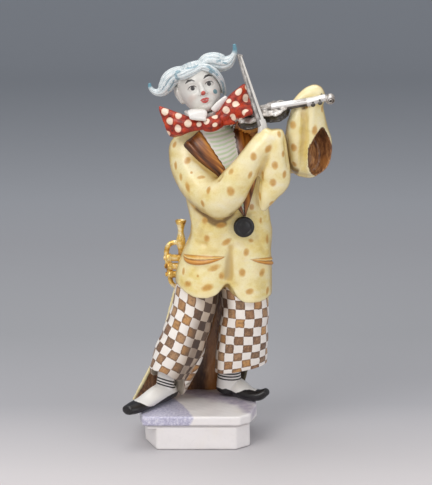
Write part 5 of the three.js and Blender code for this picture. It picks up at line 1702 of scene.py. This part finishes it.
def ridge(pts, r, **k):
    """A small rounded roll along points [x, y, z] in the head's frame, r(s) or one radius."""
    pts = np.asarray(pts, float)
    rr = r if hasattr(r, "__len__") else [r] * len(pts)
    rows = [[*p, q, q] for p, q in zip(pts, rr)]
    return loft(rows, seg=20, rings=26, ref=(0, 1, 0.01), **k)


skull = head_loft(
    [
        [0, -6, -15, 5.4, 5, 2], [0, -3.4, -11.4, 9.6, 10, 2.1], [0, -1, -6, 12.2, 13.6, 2.1], [0, 0, 1, 13.6, 15, 2.1],
        [0, 1, 8, 13.8, 15.6, 2.1], [0, 1.6, 14, 11.6, 13.4, 2], [0, 1.6, 18, 6.4, 8.4, 2],
    ],
    seg=150, rings=150, dome_a=1.4, dome_b=1.2, warp=face_warp,
)
bits = [skull]
bits.append(head_loft([[0, -12.2, 5.6, 1.5, 1.6], [0, -13.6, 3.6, 1.4, 1.7], [0, -14.9, 0.4, 1.55, 2.0], [0, -16.0, -2.6, 2.1, 2.4], [0, -15.9, -4.6, 2.2, 2.2]], seg=40, rings=40, dome_a=0.6, dome_b=0.9))
for s in (-1, 1):
    bits.append(head_loft([[s * 2.1, -14.2, -3.0, 0.9, 1.3], [s * 2.4, -14.5, -4.1, 1.15, 1.6], [s * 2.2, -14.5, -5.0, 0.9, 1.4]], seg=24, rings=16, dome_a=0.4, dome_b=0.4))
    # ear: rim, inner fold and lobe
    bits.append(head_loft([[s * 13.2, 1, -5.6, 1.2, 1.4], [s * 14.0, 1.4, -2, 1.3, 2.3], [s * 14.6, 2, 3, 1.5, 3.2], [s * 14.0, 2, 5.4, 1.2, 2.0]], seg=40, rings=30, dome_a=0.6, dome_b=0.6))
    bits.append(ridge([[s * 14.0, 0.2, -4.8], [s * 15.0, 2.6, -2.4], [s * 15.9, 4.8, 1.6], [s * 15.7, 4.2, 5.0], [s * 14.8, 1.4, 6.2], [s * 14.2, -0.8, 4.4]], [0.8, 0.75, 0.8, 0.8, 0.75, 0.5]))
    # eyeball and lids
    bits.append(head_loft([[s * EYE_X, -10.6, EYE_Z - 2.2, 0.6, 0.6], [s * EYE_X, -10.7, EYE_Z - 1.5, 2.1, 1.95], [s * EYE_X, -10.7, EYE_Z, 2.7, 2.65], [s * EYE_X, -10.7, EYE_Z + 1.5, 2.1, 1.95], [s * EYE_X, -10.6, EYE_Z + 2.2, 0.6, 0.6]], seg=44, rings=30))
    xs = np.array([-3.1, -2.2, -0.9, 0.5, 1.8, 2.9])
    up = [[s * (EYE_X + x), -12.95 + 0.16 * x * x * 0.9 + 0.12 * x, EYE_Z + 1.75 - 0.2 * x * x + 0.05 * x] for x in xs]
    lo = [[s * (EYE_X + x), -12.75 + 0.15 * x * x * 0.9 + 0.12 * x, EYE_Z - 1.45 + 0.14 * x * x + 0.05 * x] for x in xs]
    bits.append(ridge(up, [0.25, 0.5, 0.62, 0.62, 0.5, 0.25]))
    bits.append(ridge(lo, [0.2, 0.36, 0.42, 0.42, 0.36, 0.2]))
for z, w_, y, r in ((-8.15, 3.2, -14.35, 0.75), (-9.65, 2.7, -14.15, 0.9)):
    xs = np.linspace(-1, 1, 7)
    mid = 0.28 if z > -9 else -0.1
    pts = [[x * w_, y + 1.1 * x * x, z + (0.12 - mid * bump(x, 0, 0.22) if z > -9 else 0.25 * x * x)] for x in xs]
    bits.append(ridge(pts, [0.22, r * 0.7, r, r * 0.92, r, r * 0.7, 0.22]))
whole = Shape(bits[0].v, bits[0].f).join(*[Shape(b.v, b.f) for b in bits[1:]])
hd, E_ = finish_skin(whole, 0.34, even=4, soft=2)
# paint, by place on the face
x, y, z = hd.v[:, 0], hd.v[:, 1], hd.v[:, 2]
front = y < -6


def disc(cx, cz, a, b, soft_mm=0.35):
    e = 1 - np.sqrt(((x - cx) / a) ** 2 + ((z - cz) / b) ** 2)
    return np.where(front, np.clip(e * min(a, b) / soft_mm, -1, 1), -1)


def stroke(pts, r, soft_mm=0.25):
    g, al = line_gap(x, z, pts)
    rr = np.interp(al, np.linspace(0, 1, len(r)), r)
    return np.where(front, np.clip((rr - g) / soft_mm, -1, 1), -1)


hd.attr["nose_dot"] = np.where(y < -14.6, disc(0, -3.9, 1.5, 1.35), -1)
hd.attr["cheek_dot"] = np.maximum(disc(8.2, -4.8, 1.5, 1.6), -1)
hd.attr["blush"] = np.clip(np.maximum(disc(7.2, -4.6, 4.2, 3.4, 3), disc(-7.2, -4.6, 4.2, 3.4, 3)), 0, 1)
up_lip = stroke([(-3.2, -8.2), (-1.6, -7.9), (-0.6, -7.75), (0, -8.0), (0.6, -7.75), (1.6, -7.9), (3.2, -8.2)], [0.1, 0.55, 0.7, 0.6, 0.7, 0.55, 0.1])
lo_lip = stroke([(-2.6, -8.9), (-1.2, -9.6), (0, -9.8), (1.2, -9.6), (2.6, -8.9)], [0.1, 0.65, 0.8, 0.65, 0.1])
hd.attr["lips"] = np.maximum(up_lip, lo_lip)
hd.attr["lip_line"] = stroke([(-3.0, -8.5), (-1.2, -8.85), (0, -8.75), (1.2, -8.85), (3.0, -8.5)], [0.02, 0.16, 0.2, 0.16, 0.02], 0.2)
iris = np.maximum(disc(-EYE_X + 0.1, EYE_Z - 0.05, 1.4, 1.5), disc(EYE_X + 0.1, EYE_Z - 0.05, 1.4, 1.5))
hd.attr["iris"] = iris
brow, lash = np.full(len(x), -1.0), np.full(len(x), -1.0)
for s in (-1, 1):
    brow = np.maximum(brow, stroke([(s * (EYE_X - 2.6), EYE_Z + 4.0), (s * (EYE_X - 0.8), EYE_Z + 5.3), (s * (EYE_X + 1.4), EYE_Z + 5.6), (s * (EYE_X + 3.6), EYE_Z + 4.3)], [0.2, 0.75, 0.7, 0.15]))
    lash = np.maximum(lash, stroke([(s * (EYE_X - 2.9), EYE_Z - 0.1), (s * (EYE_X - 1.5), EYE_Z + 1.25), (s * (EYE_X + 0.3), EYE_Z + 1.6), (s * (EYE_X + 1.9), EYE_Z + 1.15), (s * (EYE_X + 3.2), EYE_Z - 0.1)], [0.12, 0.3, 0.36, 0.3, 0.14], 0.25))
hd.attr["brow"], hd.attr["lash"] = brow, lash
hd.v[:, 0] *= 1.03
hd = with_hollow(hd, soft=3, gain=3.0, E=E_).moved(HEAD)
make("head", hd, mat_face())


# ------------------------------------------------------------------ hair: cap, rolls over the brow, two flicked sides
def locks(n, depth, twist=0.0, phase=0.0):
    def f(T, S):
        a = T * n + twist * S + phase
        return depth * (0.7 * np.sin(a) + 0.3 * np.sin(2.1 * a + 1.3)) * smooth(0, 0.06, S) * smooth(1.02, 0.9, S)

    return f


def tagged(s, lock, tip0=2.0, tip1=3.0):
    s.attr["lock"] = np.full(len(s.v), float(lock))
    s.attr["tip"] = smooth(tip0, tip1, s.attr["s"])
    del s.attr["th"], s.attr["s"]
    return s


cap = head_loft(
    [[0, 7, -11, 8.4, 5.6, 2], [0, 6.6, -5, 12.2, 9.4, 2.1], [0, 5.6, 2, 14.2, 12, 2.1], [0, 4, 9, 15, 14.2, 2.1], [0, 2.4, 14.6, 13.2, 14.6, 2], [0, 2.4, 18.6, 8.4, 9.6, 2]],
    seg=260 // K, rings=100 // K, dome_a=2, dome_b=1.6, fold=locks(26, 0.38, 7.0),
)
# grooves between the locks, darkened by the hair glaze as painted shade
cap.attr["hollow"] = np.clip(-np.sin(cap.attr["th"] * 26 + 7.0 * cap.attr["s"]) * 0.6, 0, 1)
cap = tagged(cap, 1.0).moved(HEAD)
hair = [cap]


def strand(rows, n, depth, twist, lock, tip0, tip1, seg=120, rings=90):
    s = loft([[*r] for r in rows], seg=seg // K, rings=rings // K, ref=(0, 1, 0), dome_a=1, dome_b=0.6, fold=None)
    rad = np.asarray(rows, float)[:, 3:5].mean(1)
    top_r = rad.max()

    def f(T, S):
        here = np.interp(S, np.linspace(0, 1, len(rad)), rad)
        a = T * n + twist * S
        return depth * (here / top_r) * (0.7 * np.sin(a) + 0.3 * np.sin(2.0 * a + 1.3))

    s = loft([[*r] for r in rows], seg=seg // K, rings=rings // K, ref=(0, 1, 0), dome_a=1, dome_b=0.6, fold=f)
    # grooves between the strands, for their painted shade
    s.attr["hollow"] = np.clip(-np.sin(s.attr["th"] * n + twist * s.attr["s"]) * 0.55, 0, 1)
    here = np.interp(s.attr["s"], np.linspace(0, 1, len(rad)), rad)
    s.attr["u"] = s.attr["th"] * 7.0
    return tagged(s, lock, tip0, tip1)


hair.append(strand([[0.4, -9, 261, 3.6, 8], [-5.7, -9, 259, 4.8, 8.4], [-11.8, -9, 258, 5.6, 8], [-16.8, -9.4, 255.2, 5.8, 7.2], [-19.5, -10, 251.2, 5.2, 6], [-22.6, -10, 247.4, 3.9, 4.6], [-25.8, -10, 246.2, 2.5, 3.2], [-28.9, -10, 247.3, 1.7, 2.2], [-30.8, -10, 249.7, 1.3, 1.6], [-31.2, -10, 252, 0.9, 1.2]], 10, 0.5, 1.6, 2.0, 0.8, 1.0))
hair.append(strand([[3.4, -9, 264.4, 3.6, 8], [7.9, -9, 267.1, 5.2, 8.4], [12.6, -9, 267.3, 6.0, 8], [17.4, -9, 266.2, 6.0, 7], [21.8, -9.5, 266.8, 4.6, 5.4], [25.3, -10, 270.2, 2.5, 3.4], [26.8, -10.5, 274.4, 1.6, 2.1], [26.4, -11, 278.6, 1.1, 1.4]], 10, 0.5, -1.6, 3.0, 0.74, 1.0))
hair.append(strand([[5.2, -18.6, 264.6, 2.2, 2.8], [-1.5, -21.6, 261.8, 2.8, 2.8], [-7.5, -22.6, 259.5, 3.2, 2.9], [-12.2, -20.6, 258.2, 2.2, 2.2]], 7, 0.3, 3.0, 4.0, 2, 3, 90, 70))
hair.append(strand([[2.4, -18.6, 264.4, 2.2, 2.8], [8.0, -20.8, 263.9, 2.5, 2.8], [12.6, -20.4, 261.4, 2.4, 2.8], [16.4, -17.4, 257, 2.1, 2.6], [18.8, -13.6, 251, 1.7, 2.2], [19.9, -11.2, 245.6, 1.2, 1.6]], 7, 0.3, 3.0, 5.0, 2, 3, 90, 80))
hair = hair[0].join(*hair[1:])
# firmer strokes of blue at the parting, on the curled end over the brow and below the side locks
hx, hy = to_px(hair.v)
hn = normals(hair.v, hair.f)
dark = np.zeros(len(hair.v))
for pts_, half in (
    ([(206, 65.5), (210, 68), (215, 72.5), (218.5, 76)], 1.2), ([(209, 70.5), (213, 73)], 1.3), ([(181, 71.6), (177.6, 71.4), (175.6, 74), (176.4, 78), (180.5, 80)], 1.2),
    ([(185, 68.5), (190, 68), (195, 67), (199, 64.5)], 0.9), ([(221.5, 80), (223.6, 88), (224, 95)], 1.1), ([(168, 92), (172, 85), (174.6, 79)], 0.8),
    ([(165, 86), (169, 80), (172, 76)], 0.6), ([(162, 90), (164, 86)], 0.8), ([(176, 84), (176, 92), (177, 99)], 0.8), ([(222, 62.5), (228, 63.5)], 0.9), ([(216, 60.5), (221, 61)], 0.7),
):
    g, al = line_gap(hx, hy, pts_)
    dark = np.maximum(dark, np.clip((2.2 if pts_[0] == (181, 71.6) else 1.6) * np.exp(-((g / half) ** 2)) * smooth(-0.02, 0.12, al) * smooth(1.02, 0.85, al), 0, 1.4))
hair.attr["stroke"] = dark * smooth(0.05, 0.4, -(hn @ FWD))
make("hair", hair, mat_hair())

# ------------------------------------------------------------------ violin
VX = unit([0.955, -0.13, 0.27])
VTOP = unit(np.array([-0.16, -0.46, 0.88]) - VX * (np.array([-0.16, -0.46, 0.88]) @ VX))
VIOLIN = frame_at([45.2, -34.4, 233.8], VX, VTOP)
LEN, THICK = 36.0, 5.6


def half_width(t):
    t = np.asarray(t, float)
    belly = 9.6 * np.sqrt(np.clip(1 - ((t - 0.3) / 0.3) ** 2, 0, 1)) * (t < 0.56)
    upper = 8.8 * np.sqrt(np.clip(1 - ((t - 0.76) / 0.24) ** 2, 0, 1)) * (t > 0.5)
    waist = np.where((t > 0.03) & (t < 0.97), 5.6 + 0.5 * np.cos((t - 0.52) * 9), 0)
    return np.maximum(np.maximum(belly, upper), waist)


def violin_outline(n):
    t = 0.5 - 0.5 * np.cos(np.linspace(0, 1, n) * math.pi)
    w_ = np.maximum(half_width(t), 0.4)
    for _ in range(2):
        w_[1:-1] = 0.25 * w_[:-2] + 0.5 * w_[1:-1] + 0.25 * w_[2:]
    a = np.column_stack([(t - 0.5) * LEN, w_])
    return np.vstack([a, a[::-1] * [1, -1]])


OUT = violin_outline(90)


def violin_shell():
    rings = []
    arch = lambda k: 1.5 * (1 - k**2.4)
    for k in np.linspace(0.03, 1, 16):
        rings.append((k, -THICK / 2 - 0.5 * arch(k)))
    rings += [(1.0, -THICK / 2 + 0.5), (0.985, -THICK / 2 + 0.9), (0.94, -THICK / 2 + 1.0), (0.94, 0), (0.94, THICK / 2 - 1.0), (0.985, THICK / 2 - 0.9), (1.0, THICK / 2 - 0.5), (0.99, THICK / 2)]
    for k in np.linspace(0.96, 0.03, 18):
        dip = -0.25 * bump(k, 0.93, 0.03)
        rings.append((k, THICK / 2 + dip + arch(k)))
    n = len(OUT)
    P = np.array([np.column_stack([OUT[:, 0] * (1 - (1 - k) * 1.0), OUT[:, 1] * k, np.full(n, z)]) for k, z in rings])
    nr = len(P)
    v = np.vstack([P.reshape(-1, 3), [0, 0, rings[0][1]], [0, 0, rings[-1][1]]])
    f = grid_faces(nr, n)
    A, B, last = nr * n, nr * n + 1, (nr - 1) * n
    f += [(A, (i + 1) % n, i) for i in range(n)] + [(B, last + i, last + (i + 1) % n) for i in range(n)]
    # the ribs dark: partly their dark paint, partly painted shade
    hol = np.concatenate([np.repeat([1.0 if abs(z) < THICK / 2 - 0.8 else 0.0 for k, z in rings], n), [0, 0]])
    return Shape(v, outward(v, f), hollow=hol)


def rod(a, b, ra, rb, seg=24, rings=20, ref=(0, 0, 1), flatness=1.0, dome=0.3, n=2.0, mid=None):
    a, b = np.asarray(a, float), np.asarray(b, float)
    pts = [a, (a + b) / 2 if mid is None else np.asarray(mid, float), b]
    rows = [[*pts[0], ra, ra * flatness, n], [*pts[1], (ra + rb) / 2, (ra + rb) / 2 * flatness, n], [*pts[2], rb, rb * flatness, n]]
    return loft(rows, seg=seg, rings=rings, ref=ref, dome_a=dome, dome_b=dome)


def bare(s, **k):
    return Shape(s.v, s.f, **{a: np.full(len(s.v), float(b)) for a, b in k.items()})


body_ = violin_shell()
bn_ = normals(body_.v, body_.f)
rough_ = noise3(body_.v, 4.5, 31)
body_.v = body_.v + bn_ * (0.42 * rough_ * smooth(-THICK / 2 - 1, -THICK / 2 + 1, body_.v[:, 2]))[:, None]
# painted shade in the dents of the rough body
body_.attr["hollow"] = np.maximum(body_.attr["hollow"], 0.75 * smooth(0.25, 0.9, -rough_))
V_ = [body_]
V_.append(bare(rod([7.4, 0, 4.6], [33, 0, 1.4], 2.6, 2.2, flatness=0.62, n=3, dome=0.2, rings=30), pale=0.95))  # fingerboard
# the neck darkened as painted shade under the fingerboard
V_.append(bare(rod([10, 0, 2.4], [33, 0, -0.4], 2.2, 1.9, flatness=1.1, dome=0.2, rings=30), hollow=0.8))  # neck
V_.append(bare(rod([-3.6, -3.8, 4.2], [-3.6, 3.8, 4.2], 0.7, 0.7, flatness=2.6, n=3, dome=0.2, ref=(0, 0, 1))))  # bridge
V_.append(bare(rod([-3.6, -2.8, 6.0], [-3.6, 2.8, 6.0], 0.55, 0.55, flatness=1.2, dome=0.2, mid=[-3.6, 0, 6.6])))
V_.append(bare(rod([-16.8, 0, 3.2], [-7.0, 0, 4.9], 1.5, 2.4, flatness=0.45, n=3, dome=0.3)))  # tailpiece
V_.append(bare(rod([-18.8, 0, 0.6], [-17.0, 0, 1.2], 0.9, 0.7)))
for yy_ in (-1.5, -0.5, 0.5, 1.5):
    V_.append(bare(rod([-7.2, yy_ * 0.9, 5.4], [-3.6, yy_ * 1.1, 6.9], 0.2, 0.2, seg=8, rings=4, dome=0)))
    V_.append(bare(rod([-3.6, yy_ * 1.1, 6.9], [32.6, yy_ * 0.75, 2.9], 0.2, 0.2, seg=8, rings=6, dome=0)))
V_.append(bare(rod([31, 0, 0.8], [43.4, 0, 0.6], 3.7, 2.6, flatness=0.66, n=3.0, dome=0.5, rings=60, seg=48), pale=0.7))  # peg box
th = np.linspace(0, 2.1 * 2 * math.pi, 34)
rr = np.linspace(3.2, 0.7, 34)
curl = []
for i, (a, r) in enumerate(zip(th, rr)):
    curl.append(([46.4 + r * math.cos(a + 2.2), -1.3 + r * math.sin(a + 2.2)], r))
sc_rows = np.array([[c[0], c[1]] for c, r in curl])
# scroll: a ribbon rolled up on its own axis, 5 mm wide
nn_, mm_ = len(sc_rows), 24
prof = np.linspace(0, 2 * math.pi, mm_, endpoint=False)
tg = np.gradient(sc_rows, axis=0)
tg /= np.linalg.norm(tg, axis=1, keepdims=True)
nrm = np.column_stack([-tg[:, 1], tg[:, 0]])
wid = np.linspace(2.4, 3.1, nn_)
P = np.array([[[sc_rows[i, 0] + nrm[i, 0] * 0.62 * math.sin(a), wid[i] * np.sign(math.cos(a)) * abs(math.cos(a)) ** 0.5, sc_rows[i, 1] + nrm[i, 1] * 0.62 * math.sin(a)] for a in prof] for i in range(nn_)])
v = np.vstack([P.reshape(-1, 3), P[0].mean(0), P[-1].mean(0)])
f = grid_faces(nn_, mm_) + [(nn_ * mm_, (i + 1) % mm_, i) for i in range(mm_)] + [(nn_ * mm_ + 1, (nn_ - 1) * mm_ + i, (nn_ - 1) * mm_ + (i + 1) % mm_) for i in range(mm_)]
V_.append(Shape(v, outward(v, f), hollow=np.zeros(len(v))))
for px_, side in ((37.2, 1), (41.2, 1), (35.0, -1), (39.8, -1)):
    V_.append(bare(rod([px_, side * 2.0, 1.4], [px_, side * (5.6 + (side > 0) * 1.5), 1.4], 0.7, 0.6, seg=16, rings=8, ref=(0, 0, 1)), hollow=0.9))
    V_.append(bare(loft([[px_, side * (4.9 + (side > 0) * 1.5), 1.4, 0.8, 0.6], [px_, side * (5.9 + (side > 0) * 1.5), 1.4, 1.6, 1.1], [px_, side * (6.9 + (side > 0) * 1.3), 1.4, 1.4, 1.0]], seg=20, rings=12, ref=(0, 0, 1), dome_a=0.2, dome_b=0.5), hollow=0.95))
violin = V_[0].join(*V_[1:])
# long sound holes either side of the bridge
vx, vy, vz = violin.v.T
fh = np.full(len(vx), 0.0)
for s in (-1, 1):
    g, al = line_gap(vx, vy, [(-8.0, s * 4.6), (-6.4, s * 5.2), (-3.2, s * 4.6), (-0.2, s * 3.8), (0.8, s * 4.2)])
    fh = np.maximum(fh, np.where((vz > THICK / 2 - 0.2) & (vz < THICK / 2 + 1.7), np.clip((0.55 - g) / 0.3, 0, 1), 0))
# the underside dark: partly dark-painted back and ribs, partly painted shade beneath the violin
under = smooth(-0.4, -2.2, vz) * (np.abs(vx) < LEN / 2 + 1) * (vy < 60)
violin.attr["hollow"] = np.maximum(np.maximum(violin.attr["hollow"] * 0.9, fh), 0.95 * under)
violin = violin.moved(VIOLIN)
qx, qy = to_px(violin.v)
peg_zone = (violin.v[:, 0] > 74) * 0.0
for hx_, hy_, r_ in ((315.0, 94.5, 1.5), (320.0, 91.8, 1.5), (318.6, 103.0, 1.4)):
    near_ = np.clip((r_ + 0.4 - np.hypot(qx - hx_, qy - hy_)) / 0.8, 0, 1) * peg_zone
    violin.attr["hollow"] = np.maximum(violin.attr["hollow"], near_)
    violin.attr["pale"] = violin.attr["pale"] * (1 - near_)
silver = mat_metal("silver_glaze", (92, 82, 74), (176, 168, 160), (234, 231, 227), rough=0.34, metal=0.4, deep=(34, 26, 20))
make("violin", violin, silver)

# ------------------------------------------------------------------ bow: stick, hair and frog
TIP, FROG = np.array([30.0, -14, 271.4]), np.array([44.8, -46.0, 228.0])
ax = unit(FROG - TIP)
side = unit(np.cross(ax, [0, -1, 0.6]))
if side[0] < 0:
    side = -side
depth = unit(np.cross(side, ax))
mid = (TIP + FROG) / 2
stick = loft(
    [[*(TIP - side * 0.8), 1.1, 1.1], [*((TIP * 2 + FROG) / 3 - side * 1.2), 1.2, 1.2], [*((TIP + FROG * 2) / 3 - side * 1.5), 1.3, 1.3], [*(FROG - side * 1.7), 1.5, 1.4]],
    seg=24, rings=80, ref=tuple(depth), dome_a=0.6, dome_b=0.5,
)
ribbon = loft(
    [[*(TIP + side * 0.7 + ax * 0.6), 0.7, 0.5, 3], [*(mid + side * 0.95), 0.85, 0.5, 3], [*(FROG + side * 1.3), 1.1, 0.6, 3]],
    seg=24, rings=60, ref=tuple(depth), dome_a=0.3, dome_b=0.3,
)
point = rod(TIP - side * 1.1 - ax * 0.8, TIP + side * 1.6 + ax * 0.6, 0.95, 0.8, dome=0.5)
make("bow_stick", bare(stick, hollow=0).join(bare(point, hollow=0)), mat_metal("bow_stick_glaze", (96, 90, 86), (150, 145, 140), (196, 192, 188), rough=0.3, metal=0.3))
frog = loft(
    [[43.9, -43.6, 231.4, 2.7, 1.5], [44.8, -45.2, 227.6, 3.1, 2.2], [44.8, -46, 223.4, 3.2, 2.8], [44.2, -46, 219, 3.6, 3.4]],
    seg=60, rings=50, ref=(0, 1, 0),
)
make("bow_hair_and_frog", bare(ribbon).join(bare(frog)), mat_white("bow_hair_glaze", (172, 167, 160), 0.6))

# ------------------------------------------------------------------ trumpet held in the coat's side
TY = 4.5
cup = lathe(profile_of([[0.2, 152.2], [1.4, 152.6], [2.6, 154.6], [3.4, 155.4], [3.9, 154.8], [3.6, 153.4], [2.7, 151], [2.1, 147.6], [2.5, 144.6], [3.2, 141.6], [3.2, 138.4], [2.4, 135.4], [1.9, 132.6], [1.9, 120], [0.2, 119.8]], 120), 56)
cup.v[:, 0] += -10.6
cup.v[:, 1] += TY
R_ = 1.65
crook = loft(
    [
        [-10, TY, 137.6, R_, R_], [-14.4, TY, 139.4, R_, R_], [-18.6, TY, 138, R_ * 1.1, R_], [-20.6, TY, 133.6, R_ * 1.1, R_], [-20.4, TY, 127, R_, R_],
        [-19, TY, 119, R_, R_], [-17.6, TY + 0.5, 111, R_, R_], [-14, TY + 1, 107.6, R_, R_], [-9, TY + 1, 107, R_, R_],
    ],
    seg=44, rings=140, ref=(0, 1, 0),
)
T_ = [bare(cup), bare(crook)]
for i, z in enumerate((128.4, 122.4, 116.6)):
    x0 = -13.4 + i * 0.6
    prof = [[0.2, -8], [2.2, -8], [2.8, -7.4], [2.8, -5.6], [2.4, -5.2], [2.5, 3.6], [3.0, 4.2], [3.1, 6.6], [2.4, 7.4], [1.4, 7.8], [1.7, 8.9], [1.2, 9.4], [0.2, 9.5]]
    c = lathe(profile_of(prof, 70), 40).moved(frame_at([x0, TY, z], [0, 0, 1], [-1, 0, 0]))
    T_.append(bare(c))
T_.append(bare(rod([-20.2, TY, 127.4], [-11, TY, 127.0], 1.0, 1.0)))
trumpet = T_[0].join(*T_[1:])
for k_ in ("hollow",):
    trumpet = with_hollow(Shape(trumpet.v, trumpet.f), soft=2, gain=1.5)
make("trumpet", trumpet, mat_metal("gold_glaze", (160, 104, 30), (236, 194, 98), (255, 246, 208), rough=0.28, metal=0.5))

# ------------------------------------------------------------------ studio: a pale sweep and soft light
# painted light: the paper darkens from the near floor up the back wall, in place of the studio light's fall-off
PAPER = [
    ((y_ + 0.4) / 6.0, (r_, g_, b_, 1.0))
    for y_, r_, g_, b_ in (
        (-0.4, 0.70, 0.655, 0.66), (-0.08, 0.63, 0.60, 0.605), (0.09, 0.41, 0.405, 0.425), (0.31, 0.352, 0.355, 0.372), (0.72, 0.352, 0.356, 0.378),
        (1.0, 0.372, 0.384, 0.412), (2.2, 0.36, 0.378, 0.41), (4.5, 0.345, 0.372, 0.415),
    )
]


def sweep():
    y0, y1, r, top = -1.6, 2.6, 1.2, 3.2
    prof = [(y0, 0.0), (0.0, 0.0)] + [(y, 0.0) for y in np.linspace(0.2, y1, 14)]
    prof += [(y1 + r * math.sin(a), r * (1 - math.cos(a))) for a in np.linspace(0, math.pi / 2, 22)[1:]]
    prof += [(y1 + r, z) for z in np.linspace(r, top, 6)[1:]]
    v, f = [], []
    xs = np.linspace(-3.2, 3.2, 5)
    for yy_, zz_ in prof:
        for x_ in xs:
            v.append((x_, yy_, zz_ - 0.0002))
    n = len(xs)
    for j in range(len(prof) - 1):
        for i in range(n - 1):
            f.append((j * n + i, j * n + i + 1, (j + 1) * n + i + 1, (j + 1) * n + i))
    me = fill_mesh("backdrop", np.array(v), f)
    me.polygons.foreach_set("use_smooth", np.full(len(me.polygons), True))
    ob = bpy.data.objects.new("backdrop", me)
    scene.collection.objects.link(ob)
    m = Mat("paper", rough=0.9, coat=0.0)
    m.b.inputs["Specular IOR Level"].default_value = 0.1
    x_, y_, z_ = m.xyz()
    run = m.math("ADD", y_, m.math("MULTIPLY", z_, 1.4))
    c = m.ramp(
        m.math("DIVIDE", m.math("ADD", m.math("ADD", run, 0.4), m.math("MULTIPLY", m.noise(1.2, 2), 0.03)), 6.0),
        PAPER,
    )
    m.color(c)
    me.materials.append(m.m)
    ob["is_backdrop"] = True
    return ob


sweep()


def area(name, at, aim, size, watts, color=(1, 1, 1), size_y=None):
    d = bpy.data.lights.new(name, "AREA")
    d.energy = watts
    d.color = color
    d.size = size
    if size_y:
        d.shape = "RECTANGLE"
        d.size_y = size_y
    o = bpy.data.objects.new(name, d)
    o.location = at
    v = Vector(aim) - Vector(at)
    o.rotation_euler = v.to_track_quat("-Z", "Y").to_euler()
    scene.collection.objects.link(o)
    return o


area("key", (-0.8, -1.2, 1.2), (0.0, 0.0, 0.13), 1.0, 14.5, (1, 0.985, 0.96), 1.0)
area("fill", (1.2, -1.1, 0.7), (0.0, 0.0, 0.12), 1.2, 6.2, (0.97, 0.98, 1.0), 1.2)
area("top", (-0.1, 0.1, 1.5), (0.0, 0.0, 0.1), 1.2, 9.0, (1, 1, 1), 1.2)

world = bpy.data.worlds.new("studio")
world.use_nodes = True
world.node_tree.nodes["Background"].inputs[0].default_value = (0.86, 0.87, 0.9, 1)
world.node_tree.nodes["Background"].inputs[1].default_value = 0.55
scene.world = world
scene.view_settings.view_transform = "Standard"
scene.view_settings.look = "None"
scene.view_settings.exposure = 0.0

BOX1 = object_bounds()


def plain(b):
    try:
        return [[float(x) for x in p] for p in b]
    except TypeError:
        return [float(x) for x in b]


{"before": plain(BOX0), "after": plain(BOX1)}
